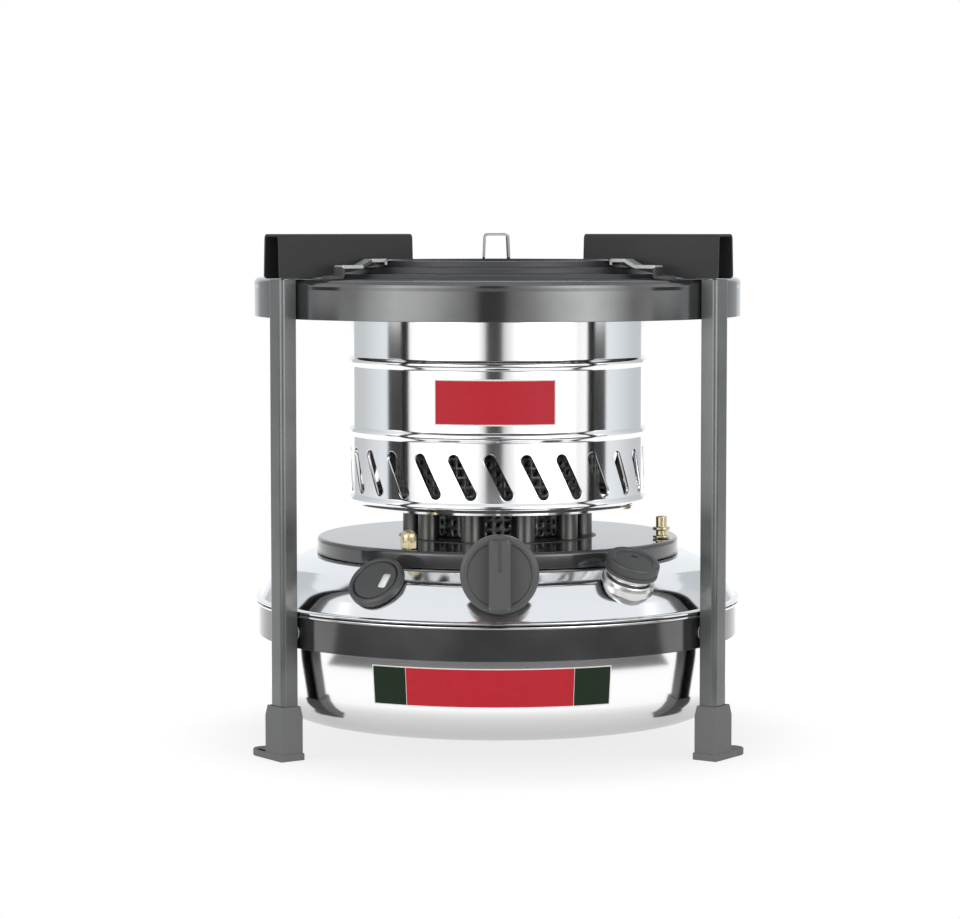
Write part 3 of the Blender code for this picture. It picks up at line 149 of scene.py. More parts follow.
def named(group):
    """Give each property of a group the name that its identifier spells."""
    for key, made in group.__annotations__.items():
        made.keywords["name"] = key.replace("_", " ").capitalize()
    return group


@named
class StoveFrameSizes(bpy.types.PropertyGroup):
    """Legs, rings, pan supports, heat shield and lugs."""

    turn_steps: count("Faces round each large turned sheet", 192)
    sheet_edge: size("Rounding of a cut sheet edge", 0.00022)
    air_gap: size("Space between pieces that touch", 0.0003)
    leg_width: size("Width of a leg along the rim", 0.0120)
    leg_inner: size("Radius of a leg's open side", 0.1259)
    leg_outer: size("Radius of a leg's web", 0.1347)
    leg_fold: size("Outer radius of the leg's folds", 0.0024)
    leg_sheet: size("Sheet thickness of the legs", 0.0015)
    leg_base: size("Height of the leg's lower end", 0.0035)
    foot_edge: size("Rounding of the plastic feet", 0.0008)
    ring_radius: size("Outer radius of the top ring", 0.1250)
    ring_base: size("Height of the top ring's lower edge", 0.2187)
    ring_top: size("Height of the top ring's lip", 0.2384)
    ring_round: size("Radius over the ring's upper edge", 0.0030)
    ring_roll: size("How far the rolled edge stands out", 0.00014)
    roll_depth: size("From the ring's top to the lower end of its rolled edge", 0.0050)
    roll_run: size("Height over which the rolled edge comes out, and its rounding", 0.0016)
    ring_lip: size("Inner radius of the top ring's lip", 0.1185)
    ring_sheet: size("Sheet thickness of the top ring", 0.0010)
    band_radius: size("Outer radius of the tank ring", 0.1235)
    band_base: size("Height of the tank ring's lower edge", 0.0552)
    band_top: size("Height of the tank ring's upper edge", 0.0709)
    band_sheet: size("Sheet thickness of the tank ring", 0.0012)
    rivet_radius: size("Radius of a rivet's shank", 0.0025)
    rivet_head: size("Radius of a rivet's head", 0.0040)
    rivet_rim: size("Thickness of a rivet's head at its rim", 0.0005)
    rivet_inside: size("Thickness of the head inside the ring", 0.0012)
    rivet_outside: size("Thickness of the head at the leg", 0.0010)
    support_inner: size("Radius of a pan support's inner end", 0.0575)
    support_outer: size("Radius of a pan support's outer end", 0.1360)
    support_seat: size("Height of a pan support's lower edge", 0.2387)
    support_top: size("Height of a pan support's top", 0.2607)
    support_top_width: size("Width of a pan support across its top", 0.0136)
    support_foot_width: size("Width of a pan support across its skirts", 0.0155)
    support_sheet: size("Sheet thickness of the pan supports", 0.0012)
    support_fold: size("Outer radius of the support's folds", 0.0022)
    support_corner: size("Rounding of the support's outer lower corner", 0.0018)
    shield_levels: lengths("Heights of the shield's four steps", (0.2386, 0.2408, 0.2440, 0.2472))
    shield_radii: lengths("Radii of the shield's four steps", (0.1100, 0.0958, 0.0808, 0.0708))
    shield_riser: size("Half the run of a riser between two steps", 0.0003)
    shield_fillet: size("Rounding of the shield's steps", 0.0009)
    shield_sheet: size("Sheet thickness of the heat shield", 0.0010)
    shield_opening: size("Radius of the flame opening", 0.0545)
    lug_width: size("Width of a lug strip", 0.0060)
    lug_foot: size("Radius at which a lug's foot ends on the ring", 0.1196)
    lug_riser: size("Radius of a lug's upright", 0.1114)
    lug_crank: size("Radius at which a lug starts to rise", 0.0980)
    lug_crest: size("Radius at which a lug is level again", 0.0910)
    lug_inner: size("Radius of a lug's inner end", 0.0812)
    lug_low: size("Height of a lug's lower level above the ring", 0.0070)
    lug_high: size("Height of a lug's upper level above the ring", 0.0100)
    lug_dip: size("How much lower the rear lug runs under its support", 0.0022)
    lug_drop: size("How far a lug's inner end turns down", 0.0030)
    lug_bend: size("Outer radius of a lug's bends", 0.0012)
    # Painted shade on the middle of the left lug's sloping cut edge.
    lug_shadow: amount("Share of the left lug's slope whose cut edge is dark", 0.8)
    lug_sheet: size("Sheet thickness of a lug", 0.0016)


@named
class StoveTankSizes(bpy.types.PropertyGroup):
    """Fuel tank, filler, gauge and deck."""

    sheet: size("Sheet thickness of the pan and the dome", 0.0010)
    pan_base: size("Height of the tank's bottom", 0.0137)
    pan_corner: size("Rounding between the tank's bottom and its wall", 0.0190)
    pan_foot: size("Radius at which the tank's wall would meet its bottom", 0.1174)
    pan_belly: size("Radius of the tank's wall where it turns upright", 0.1211)
    pan_belly_height: size("Height at which the wall turns upright", 0.0500)
    pan_bend: size("Rounding where the wall turns upright", 0.1200)
    pan_lip: size("Radius of the tank's wall under the seam", 0.1214)
    pan_lip_height: size("Height of the underside of the seam", 0.0712)
    pan_lip_round: size("Rounding under the seam", 0.0009)
    dome_foot: size("Height of the dome's lower edge", 0.0731)
    seam_top: size("Height of the seam's upper edge", 0.0740)
    seam_radius: size("Outer radius of the seam", 0.1252)
    deck_radius: size("Outer radius of the deck", 0.0935)
    deck_base: size("Height of the deck's lower edge", 0.0967)
    deck_top: size("Height of the deck", 0.1050)
    deck_edge: size("Rounding of the deck's rim", 0.0020)
    deck_opening: size("Radius of the opening for the gallery", 0.0510)
    deck_notch: size("Width of the notch for the spindle", 0.0044)
    stud_circle: size("Radius on which the brass studs stand", 0.0864)
    stud_radius: size("Radius of a stud", 0.0018)
    stud_end: size("Height of a stud's lower end", 0.0945)
    post_radius: size("Radius of the tall post", 0.0028)
    post_top: size("Height of the tall post", 0.1165)
    nut_radius: size("Radius of a stud's nut", 0.0044)
    filler_azimuth: angle("Where the filler stands round the tank", 34.5)
    filler_seat: size("Radius at which the filler leaves the tank", 0.1115)
    filler_height: size("Height at which the filler leaves the tank", 0.0904)
    filler_tilt: angle("How far the filler leans outwards", 24)
    neck_radius: size("Outer radius of the filler neck", 0.0103)
    neck_bead: size("How far the neck's base bead stands out", 0.0024)
    cap_radius: size("Outer radius of the filler cap", 0.0133)
    gauge_azimuth: angle("Where the gauge stands round the tank", -32)
    gauge_seat: size("Radius at which the gauge leaves the tank", 0.1088)
    gauge_height: size("Height at which the gauge leaves the tank", 0.0868)
    gauge_tilt: angle("How far the gauge leans outwards", 45)
    gauge_radius: size("Outer radius of the gauge", 0.0144)
    gauge_lens: size("Radius of the gauge's face", 0.0111)
    window_offset: size("From the face's middle to the window's", 0.0052)
    window_width: size("Width of the gauge's window", 0.0044)
    window_height: size("Height of the gauge's window", 0.0086)
    window_corner: size("Rounding of the window's corners", 0.0010)
    knob_radius: size("Radius of the control knob", 0.0190)
    knob_height: size("Height of the knob's axis", 0.0983)
    knob_back: size("How far in front of the axis the knob starts", 0.1240)
    hub_radius: size("Radius of the hub behind the knob", 0.0042)
    hub_depth: size("Depth of the hub behind the knob", 0.0060)
    knob_disc: size("Thickness of the knob's disc", 0.0070)
    knob_reach: size("Thickness of the knob with its rib", 0.0140)
    knob_rib: size("Width of the knob's grip rib", 0.0112)
    rib_length: amount("Length of the rib as a share of the knob's width", 0.93)
    rib_round: size("Rounding of the rib's corners", 0.0022)
    rib_draft: amount("Share by which the rib narrows towards its top", 0.09)
    groove_start: amount("Where the line starts, as a share of half the rib", 0.12)
    groove_depth: size("Depth of the line along the rib", 0.0006)
    knob_edge: size("Rounding of the knob's edges", 0.0007)
    knob_groove: size("Width of the line along the rib", 0.0016)


@named
class StoveBurnerSizes(bpy.types.PropertyGroup):
    """Casing, spreaders, gallery and wicks."""

    casing_radius: size("Outer radius of the casing", 0.0758)
    casing_base: size("Height of the casing's lower edge", 0.1215)
    casing_top: size("Height of the casing's upper edge", 0.2360)
    casing_sheet: size("Sheet thickness of the casing", 0.0008)
    bead_half: size("Half the height of a bead", 0.0025)
    bead_proud: size("How far a bead stands out", 0.0015)
    slots: count("Air slots round the casing", 26)
    slot_width: size("Width of an air slot", 0.0060)
    slot_height: size("Height of an air slot", 0.0230)
    slot_level: size("Height of the slots' middle", 0.1403)
    slot_lean: angle("How far a slot leans to the left", 27)
    slot_lip: size("Depth of the slots' turned-in lips", 0.0014)
    outer_radius: size("Radius of the outer flame spreader", 0.0528)
    outer_base: size("Height of the outer spreader's lower edge", 0.1235)
    outer_top: size("Height of the outer spreader's upper edge", 0.2400)
    inner_radius: size("Radius of the inner flame spreader", 0.0345)
    inner_base: size("Height of the inner spreader's lower edge", 0.1057)
    inner_top: size("Height of the inner spreader's upper edge", 0.2380)
    spreader_sheet: size("Sheet thickness of the spreaders", 0.0008)
    hole_radius: size("Radius of a flame hole", 0.0009)
    hole_pitch: size("Distance between flame holes", 0.0048)
    lid_rim: size("Radius inside which the spreader's lid is dished", 0.0240)
    lid_floor: size("Radius of the floor of that dish", 0.0220)
    lid_dish: size("Depth of that dish", 0.0009)
    cap_rise: size("Height of the spreader's lid", 0.0030)
    pin_radius: size("Radius of a cross pin", 0.0015)
    pin_level: size("Height of the cross pins", 0.1560)
    gallery_base: size("Height of the gallery's underside", 0.1019)
    gallery_step: size("Height of the flange under the deck", 0.1037)
    gallery_flange: size("How far the flange reaches under the deck", 0.0035)
    gallery_top: size("Height of the gallery plate", 0.1054)
    tube_base: size("Height of a wick tube's lower end", 0.0965)
    tube_top: size("Height of a wick tube's upper end", 0.1275)
    tube_sheet: size("Sheet thickness of a wick tube", 0.0006)
    tube_radius: size("Outer radius of a wick tube", 0.0055)
    wick_circle: size("Radius on which the wicks stand", 0.0435)
    wick_radius: size("Radius of a wick", 0.0045)
    plait: size("Depth of the wick's plaiting", 0.00022)
    plait_rows: count("Rows of plaiting along a wick", 36)
    wick_base: size("Height of a wick's lower end", 0.0220)
    wick_top: size("Height of a wick's upper end", 0.1285)
    wicks: count("How many wicks the burner has", 10)


@named
class StoveColours(bpy.types.PropertyGroup):
    """Colours of the finishes and the two label plates."""

    mirror: colour("Polished steel of tank and casing", (0.79, 0.79, 0.80))
    bright: colour("Brushed steel of lugs and rivets", (0.62, 0.62, 0.61))
    ring: colour("Dark glossy finish of the two rings", (0.114, 0.115, 0.116))
    leg: colour("Grey paint of the legs", (0.122, 0.124, 0.124))
    support: colour("Dark paint of the pan supports", (0.018, 0.018, 0.019))
    enamel: colour("Black enamel of the heat shield", (0.012, 0.012, 0.013))
    foot: colour("Grey plastic of the feet", (0.090, 0.091, 0.091))
    knob: colour("Dark plastic of the knob", (0.030, 0.031, 0.031))
    plastic: colour("Black plastic of the filler cap and the gauge", (0.013, 0.013, 0.014))
    brass: colour("Brass of the studs and the gears", (0.37, 0.335, 0.245))
    deck: colour("Dark gloss of the deck", (0.085, 0.085, 0.087))
    # On the lugs this dark steel colour stands for painted shade.
    blackened: colour("Steel that the flame has darkened", (0.125, 0.123, 0.120))
    cotton: colour("Cotton of the woven wicks", (0.72, 0.69, 0.60))
    label: colour("Red face of the label plates", (0.445, 0.018, 0.030))
    label_end: colour("End panels of the lower plate", (0.010, 0.020, 0.010))
    label_line: colour("Pale border of the label plates", (0.80, 0.74, 0.72))


@named
class StoveStageSettings(bpy.types.PropertyGroup):
    """Camera, lamps, cards and floor."""

    camera_distance: size("From the stove's axis to the camera", 1.625)
    camera_height: size("Height of the camera above the floor", 0.2647)
    camera_turn: angle("How far the camera stands round to the left", 0.45)
    camera_pitch: angle("How far the camera looks down", 4.25)
    camera_lens: amount("Focal length in millimetres", 117.9)
    axis_offset: amount("How far the stove's axis is right of the middle, in pixels", 17.5)
    box_distance: size("From the stove's axis to the softboxes", 1.35)
    box_height: size("Height of a softbox", 0.62)
    panel_height: size("Height of the panels that the mirrors see", 0.95)
    box_radiance: amount("Brightness of a softbox", 2.3)
    panel_radiance: amount("Brightest part of the mirrored panels", 4.7)
    card_distance: size("From the stove's axis to the dark cards", 0.9)
    card_height: size("Height of the dark cards", 0.193)
    floor_near: size("Radius out to which the floor shows its shadows", 0.11)
    floor_far: size("Radius from which the floor is plain white", 0.18)
    mirror_far: size("Radius from which mirrors see the floor plain", 0.21)
    # Floor in the mirrors: painted shade next to the stove, and a painted glow further out.
    mirror_near_shade: amount("Floor in the mirrors next to the stove", 0.74)
    mirror_far_glow: amount("Floor in the mirrors further out", 1.28)
    floor_least: amount("Share of plain white beside the stove", 0.74)
    fill_level: amount("Brightness of the room on the stove", 0.55)


def spot(azimuth, radius, height, tilt=0.0):
    """Frame at a radius and an azimuth from the front: X along the rim, Y inwards, Z up."""
    turn = Matrix.Rotation(azimuth, 4, "Z")
    shift = Matrix.Translation((0, -radius, height))
    return turn @ shift @ Matrix.Rotation(tilt, 4, "X")


def outward(azimuth):
    """Turn (across, up) points that are raised along Z so that they run out from the axis."""
    return Matrix.Rotation(azimuth, 4, "Z") @ Matrix.Rotation(math.pi / 2, 4, "X")


def side_plane(azimuth):
    """Turn a flat (radius, height) outline into the upright plane at an azimuth."""
    flat = Matrix(((0, 0, -1, 0), (-1, 0, 0, 0), (0, 1, 0, 0), (0, 0, 0, 1)))
    return Matrix.Rotation(azimuth, 4, "Z") @ flat


def arc(centre, start, end, steps):
    """Points of an arc between two offsets from its centre, the shorter way round."""
    first = math.atan2(start.y, start.x)
    sweep = (math.atan2(end.y, end.x) - first + math.pi) % FULL_TURN - math.pi
    turns = [first + sweep * step / steps for step in range(steps + 1)]
    return [centre + start.length * Vector((math.cos(t), math.sin(t))) for t in turns]


def rounded(corners, steps=5, closed=False):
    """Outline through (across, up, fillet) corners, with an arc where the fillet isn't zero."""
    points = []
    last = len(corners) - 1
    for index, (across, up, fillet) in enumerate(corners):
        here = Vector((across, up))
        if fillet == 0 or (not closed and index in (0, last)):
            points.append(here)
            continue
        before = (Vector(corners[index - 1][:2]) - here).normalized()
        after = (Vector(corners[(index + 1) % len(corners)][:2]) - here).normalized()
        half = before.angle(after) / 2
        centre = here + (before + after).normalized() * (fillet / math.sin(half))
        reach = fillet / math.tan(half)
        points += arc(centre, here + before * reach - centre, here + after * reach - centre, steps)
    return points


def wire(mesh, points, closed=False):
    """Join flat points into a line of edges in the XY plane, and return vertices and edges."""
    corners = [mesh.verts.new((point[0], point[1], 0)) for point in points]
    pairs = list(zip(corners, corners[1:]))
    if closed:
        pairs.append((corners[-1], corners[0]))
    return corners, [mesh.edges.new(pair) for pair in pairs]


def vertices_in(geometry):
    """The vertices among some mesh elements."""
    return [item for item in geometry if isinstance(item, bmesh.types.BMVert)]


def lathe(outline, steps, place=Matrix(), closed=False, sweep=FULL_TURN):
    """Spin (radius, height) points about Z, centred on the front when the sweep isn't full."""
    mesh = bmesh.new()
    corners, edges = wire(mesh, outline, closed)
    mesh.transform(Matrix.Rotation(math.pi / 2, 4, "X"))
    mesh.transform(Matrix.Rotation(-(math.pi + sweep) / 2, 4, "Z"))
    on_axis = [edge for edge in edges if max(v.co.xy.length for v in edge.verts) < MERGE]
    bmesh.ops.delete(mesh, geom=on_axis, context="EDGES")
    whole = sweep == FULL_TURN
    geometry = list(mesh.verts) + list(mesh.edges)
    turning = {"cent": (0, 0, 0), "axis": (0, 0, 1), "dvec": (0, 0, 0), "angle": sweep}
    bmesh.ops.spin(mesh, geom=geometry, steps=steps, use_merge=whole, **turning)
    bmesh.ops.remove_doubles(mesh, verts=mesh.verts, dist=MERGE)
    bmesh.ops.recalc_face_normals(mesh, faces=mesh.faces)
    mesh.transform(place)
    return mesh


def face_away(mesh, point):
    """Turn an open sheet so that its faces point away from a point."""
    bmesh.ops.recalc_face_normals(mesh, faces=mesh.faces)
    point = Vector(point)
    faces = mesh.faces
    total = sum(f.calc_area() * f.normal.dot(f.calc_center_median() - point) for f in faces)
    if total < 0:
        bmesh.ops.reverse_faces(mesh, faces=mesh.faces)
    return mesh


def raise_line(points, low, high, place=Matrix()):
    """Open sheet: a line of flat points raised along Z."""
    mesh = bmesh.new()
    corners, edges = wire(mesh, points)
    bmesh.ops.translate(mesh, vec=(0, 0, low), verts=corners)
    raised = bmesh.ops.extrude_edge_only(mesh, edges=edges)
    tops = vertices_in(raised["geom"])
    bmesh.ops.translate(mesh, vec=(0, 0, high - low), verts=tops)
    mesh.transform(place)
    return mesh


def prism(points, low, high, place=Matrix(), draft=0.0):
    """Closed solid: a flat outline raised along Z, drawn in by a share at its top."""
    mesh = bmesh.new()
    corners, _ = wire(mesh, points, closed=True)
    bmesh.ops.translate(mesh, vec=(0, 0, low), verts=corners)
    face = mesh.faces.new(corners)
    raised = bmesh.ops.extrude_face_region(mesh, geom=[face])
    tops = vertices_in(raised["geom"])
    bmesh.ops.translate(mesh, vec=(0, 0, high - low), verts=tops)
    bmesh.ops.scale(mesh, vec=(1 - draft, 1 - draft, 1), verts=tops)
    bmesh.ops.recalc_face_normals(mesh, faces=mesh.faces)
    mesh.transform(place)
    return mesh


def joined(*meshes):
    """Put several meshes into the first one."""
    first = meshes[0]
    for mesh in meshes[1:]:
        carrier = bpy.data.meshes.new("carrier")
        mesh.to_mesh(carrier)
        mesh.free()
        first.from_mesh(carrier)
        bpy.data.meshes.remove(carrier)
    return first


def turned_copies(mesh, number):
    """Repeat a mesh round Z at equal steps."""
    start = list(mesh.verts) + list(mesh.edges) + list(mesh.faces)
    for index in range(1, number):
        made = bmesh.ops.duplicate(mesh, geom=start)["geom"]
        verts = vertices_in(made)
        turn = Matrix.Rotation(FULL_TURN * index / number, 3, "Z")
        bmesh.ops.rotate(mesh, cent=(0, 0, 0), matrix=turn, verts=verts)
    return mesh


def node_mesh(node):
    """Merged copy of a CAD node's mesh, with its flat faces whole again."""
    mesh = bmesh.new()
    mesh.from_mesh(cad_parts[node].data)
    bmesh.ops.remove_doubles(mesh, verts=mesh.verts, dist=MERGE)
    bmesh.ops.dissolve_limit(
        mesh, angle_limit=math.radians(1), verts=mesh.verts, edges=mesh.edges
    )
    bmesh.ops.recalc_face_normals(mesh, faces=mesh.faces)
    return mesh


def new_object(name, mesh):
    """Link a new object that holds a mesh."""
    data = bpy.data.meshes.new(name)
    mesh.to_mesh(data)
    mesh.free()
    made = bpy.data.objects.new(name, data)
    bpy.context.scene.collection.objects.link(made)
    return made


def settle(made):
    """Write an object's modifiers into its mesh."""
    bpy.context.view_layer.update()
    graph = bpy.context.evaluated_depsgraph_get()
    result = bpy.data.meshes.new_from_object(made.evaluated_get(graph))
    made.modifiers.clear()
    old = made.data
    made.data = result
    bpy.data.meshes.remove(old)
    result.name = made.name
    return made


def combine(made, tool_mesh, operation="DIFFERENCE"):
    """Cut a closed mesh out of an object, or join it on, and keep the result."""
    tool = new_object("tool", tool_mesh)
    step = made.modifiers.new("cut", "BOOLEAN")
    step.operation = operation
    step.solver = "EXACT"
    step.object = tool
    settle(made)
    data = tool.data
    bpy.data.objects.remove(tool)
    bpy.data.meshes.remove(data)
    return made


def thicken(made, sheet):
    """Give an open sheet its thickness, on the side away from its faces."""
    step = made.modifiers.new("sheet", "SOLIDIFY")
    step.thickness = sheet
    step.offset = -1
    step.use_even_offset = True


def second_look(made, chosen):
    """Give the second finish to all of a settled piece's faces but the chosen ones."""
    for face in made.data.polygons:
        face.material_index = 0 if chosen(face) else 1


def soften(made, edge, segments=2, limit=math.radians(38)):
    """Round the sharp edges and let the broad faces set the shading."""
    step = made.modifiers.new("edge", "BEVEL")
    step.width = edge
    step.segments = segments
    step.limit_method = "ANGLE"
    step.angle_limit = limit
    step.use_clamp_overlap = True
    weighted = made.modifiers.new("shading", "WEIGHTED_NORMAL")
    weighted.mode = "FACE_AREA"
    weighted.keep_sharp = False


def turned(name, corners, place=Matrix(), steps=96, edge=FINE_EDGE, closed=False, arcs=5):
    """New solid piece turned on a lathe, with its sharp edges rounded."""
    outline = rounded(corners, arcs, closed)
    made = new_object(name, lathe(outline, steps, place, closed))
    soften(made, edge)
    return made


def turned_sheet(name, corners, inside, sheet, arcs=5):
    """New sheet piece turned on a lathe, with its faces away from a height on the axis."""
    steps = bpy.context.scene.stove_frame.turn_steps
    mesh = face_away(lathe(rounded(corners, arcs), steps), (0, 0, inside))
    made = new_object(name, mesh)
    thicken(made, sheet)
    return made


def dress(made, look, replaced=(), second=None, body="stove_frame"):
    """Smooth an object, paint it, hang it on its CAD body and hide the CAD parts that it stands
    for.
    """
    made.data.shade_smooth()
    for name in (look, second or look):
        made.data.materials.append(finish(name))
    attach(made, body)
    if replaced:
        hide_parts(*replaced)
    return made


def add_node(tree, kind, inputs=(), **settings):
    """Add a shader node, with sockets or plain values for its inputs."""
    made = tree.nodes.new(kind)
    for name, value in settings.items():
        setattr(made, name, value)
    for name, value in dict(inputs).items():
        if isinstance(value, bpy.types.NodeSocket):
            tree.links.new(value, made.inputs[name])
        else:
            made.inputs[name].default_value = value
    return made


def place_of(tree, stretch=(1, 1, 1), turn=(0, 0, 0)):
    """Object coordinates in metres, stretched and turned."""
    source = add_node(tree, "ShaderNodeTexCoord").outputs["Object"]
    settings = {"Vector": source, "Scale": stretch, "Rotation": turn}
    return add_node(tree, "ShaderNodeMapping", settings).outputs["Vector"]


def grain(tree, stretch, scale, detail=3.0):
    """Cloudy pattern with a given number of grains to the metre."""
    settings = {"Vector": place_of(tree, stretch), "Scale": scale, "Detail": detail}
    return add_node(tree, "ShaderNodeTexNoise", settings).outputs["Fac"]


def between(tree, value, low, high):
    """Spread the middle of a pattern's range between two values."""
    settings = {"Value": value, "From Min": 0.3, "From Max": 0.7, "To Min": low, "To Max": high}
    return add_node(tree, "ShaderNodeMapRange", settings).outputs["Result"]


def tint(tree, value, dark, light):
    """Run a pattern's values between two colours."""
    ramp = add_node(tree, "ShaderNodeValToRGB", {"Fac": value})
    for element, shade, at in zip(ramp.color_ramp.elements, (dark, light), (0.3, 0.7)):
        element.color = (*shade, 1)
        element.position = at
    return ramp.outputs["Color"]


def relief(tree, height, distance, under=None):
    """Bump of a given depth in metres."""
    settings = {"Height": height, "Distance": distance}
    if under is not None:
        settings["Normal"] = under
    return add_node(tree, "ShaderNodeBump", settings).outputs["Normal"]


def shade(value, share):
    """A colour made lighter or darker by a share."""
    return tuple(min(1.0, channel * share) for channel in value)


def surface(name, inputs):
    """New material whose shader has these uniform values, with its tree and shader."""
    made = bpy.data.materials.new(name)
    made.use_nodes = True
    shader = made.node_tree.nodes["Principled BSDF"]
    for key, value in inputs.items():
        shader.inputs[key].default_value = value
    return made, made.node_tree, shader


def wire_up(tree, shader, colour_socket, roughness, normal):
    """Connect the patterns of a finish to its shader."""
    tree.links.new(colour_socket, shader.inputs["Base Color"])
    tree.links.new(roughness, shader.inputs["Roughness"])
    tree.links.new(normal, shader.inputs["Normal"])


def polished_finish(name, value, low, high, depth):
    """Steel polished on a lathe: fine lines run round it, with faint smears."""
    made, tree, shader = surface(name, {"Metallic": 1.0})
    lines = grain(tree, (0.02, 0.02, 1.0), 2600.0, 2.0)
    smears = grain(tree, (1, 1, 0.6), 34.0, 4.0)
    shades = tint(tree, smears, shade(value, 0.95), shade(value, 1.03))
    wire_up(tree, shader, shades, between(tree, smears, low, high), relief(tree, lines, depth))
    return made


def brushed_finish(name, value, roughness, stretch):
    """Sheet steel with a drawn grain along one direction."""
    made, tree, shader = surface(name, {"Metallic": 1.0})
    lines = grain(tree, stretch, 1800.0, 3.0)
    patches = grain(tree, (1, 1, 1), 60.0, 3.0)
    shades = tint(tree, patches, shade(value, 0.88), shade(value, 1.08))
    rough = between(tree, lines, roughness * 0.8, roughness * 1.3)
    wire_up(tree, shader, shades, rough, relief(tree, lines, 0.000006))
    return made


def painted_finish(name, value, metallic, roughness, peel, gloss=0.5):
    """Sprayed and baked paint with orange peel and slight clouding."""
    made, tree, shader = surface(name, {"Metallic": metallic, "Specular IOR Level": gloss})
    clouds = grain(tree, (1, 1, 1), 40.0, 4.0)
    bumps = grain(tree, (1, 1, 1), 620.0, 2.0)
    shades = tint(tree, clouds, shade(value, 0.88), shade(value, 1.12))
    rough = between(tree, clouds, roughness * 0.85, roughness * 1.2)
    wire_up(tree, shader, shades, rough, relief(tree, bumps, peel))
    return made


def moulded_finish(name, value, roughness, depth, scale=1500.0):
    """Moulded plastic with a fine spark-eroded texture."""
    made, tree, shader = surface(name, {"Specular IOR Level": 0.28})
    fine = grain(tree, (1, 1, 1), scale, 2.0)
    broad = grain(tree, (1, 1, 1), 90.0, 3.0)
    shades = tint(tree, broad, shade(value, 0.93), shade(value, 1.08))
    rough = between(tree, fine, roughness * 0.88, roughness * 1.12)
    wire_up(tree, shader, shades, rough, relief(tree, fine, depth))
    return made


def printed_finish(name, value):
    """Printed enamel with a soft, even face."""
    made, tree, shader = surface(name, {"Specular IOR Level": 0.12})
    mottle = grain(tree, (1, 1, 1), 420.0, 3.0)
    shades = tint(tree, mottle, shade(value, 0.95), shade(value, 1.04))
    wire_up(tree, shader, shades, between(tree, mottle, 0.4, 0.5), relief(tree, mottle, 0.000004))
    return made


def woven_finish(name, value):
    """Plaited cotton: two crossing sets of strands with loose fibres."""
    made, tree, shader = surface(name, {"Sheen Weight": 0.35, "Sheen Roughness": 0.5})
    strands = []
    for lean in (0.7, -0.7):
        settings = {
            "Vector": place_of(tree, (1, 1, 1), (lean, lean, 0)),
            "Scale": 190.0,
            "Distortion": 1.2,
            "Detail": 1.0,
        }
        strands.append(add_node(tree, "ShaderNodeTexWave", settings).outputs["Fac"])
    crossed = add_node(tree, "ShaderNodeMath", operation="MAXIMUM")
    tree.links.new(strands[0], crossed.inputs[0])
    tree.links.new(strands[1], crossed.inputs[1])
    fibres = grain(tree, (1, 1, 0.3), 2600.0, 3.0)
    # The strands' recesses, where the bump runs low, are painted darker as painted shade.
    shades = tint(tree, crossed.outputs[0], shade(value, 0.62), value)
    under = relief(tree, fibres, 0.00006)
    normal = relief(tree, crossed.outputs[0], 0.0004, under)
    wire_up(tree, shader, shades, between(tree, fibres, 0.85, 0.98), normal)
    return made


def cork_finish(name):
    """Pressed cork granules."""
    made, tree, shader = surface(name, {})
    settings = {"Vector": place_of(tree), "Scale": 700.0}
    cells = add_node(tree, "ShaderNodeTexVoronoi", settings).outputs["Distance"]
    shades = tint(tree, cells, (0.24, 0.12, 0.05), (0.52, 0.32, 0.16))
    wire_up(tree, shader, shades, between(tree, cells, 0.95, 0.8), relief(tree, cells, 0.0003))
    return made


def finish(name):
    """The finish of that name, made at its first use."""
    known = bpy.data.materials.get(name)
    if known is not None:
        return known
    paints = bpy.context.scene.stove_colours
    makers = {
        "polished_steel": (polished_finish, paints.mirror, 0.035, 0.085, 0.0000012),
        "dull_steel": (polished_finish, paints.bright, 0.24, 0.38, 0.000004),
        "bright_steel": (brushed_finish, paints.bright, 0.24, (1, 1, 0.05)),
        # Flame-darkened steel of the burner; on the lugs the same dark steel is painted shade.
        "heat_dark": (polished_finish, paints.blackened, 0.30, 0.50, 0.000004),
        "ring_gloss": (painted_finish, paints.ring, 0.8, 0.13, 0.000006),
        "deck_gloss": (painted_finish, paints.deck, 0.55, 0.09, 0.000004),
        "leg_paint": (painted_finish, paints.leg, 0.45, 0.21, 0.000008),
        "support_paint": (painted_finish, paints.support, 0.0, 0.5, 0.00001, 0.3),
        "black_enamel": (painted_finish, paints.enamel, 0.0, 0.30, 0.000014),
        "foot_plastic": (moulded_finish, paints.foot, 0.55, 0.00002),
        "knob_plastic": (moulded_finish, paints.knob, 0.36, 0.00001),
        "black_plastic": (moulded_finish, paints.plastic, 0.28, 0.000006),
        "rubber": (moulded_finish, (0.02, 0.02, 0.02), 0.7, 0.00003),
        "brass": (brushed_finish, paints.brass, 0.22, (1, 1, 0.05)),
        "wick_cotton": (woven_finish, paints.cotton),
        "cork": (cork_finish,),
        "label_red": (printed_finish, paints.label),
        "label_end": (printed_finish, paints.label_end),
        "label_line": (printed_finish, paints.label_line),
        # Leg paint at a fifth of its brightness: painted shade on the inside of the leg channels.
        "leg_inside": (painted_finish, shade(paints.leg, 0.2), 0.0, 0.5, 0.00001),
        # Bare cut edges of the supports, painted light grey as a painted reflection.
        "cut_edge": (painted_finish, shade(paints.bright, 0.8), 0.2, 0.4, 0.000008),
        "gauge_card": (moulded_finish, (0.82, 0.82, 0.80), 0.5, 0.000004),
    }
    maker, *values = makers[name]
    return maker(name, *values)


class StoveStep(bpy.types.Operator):
    """What every step of the build shares."""

    bl_options = {"REGISTER", "UNDO"}


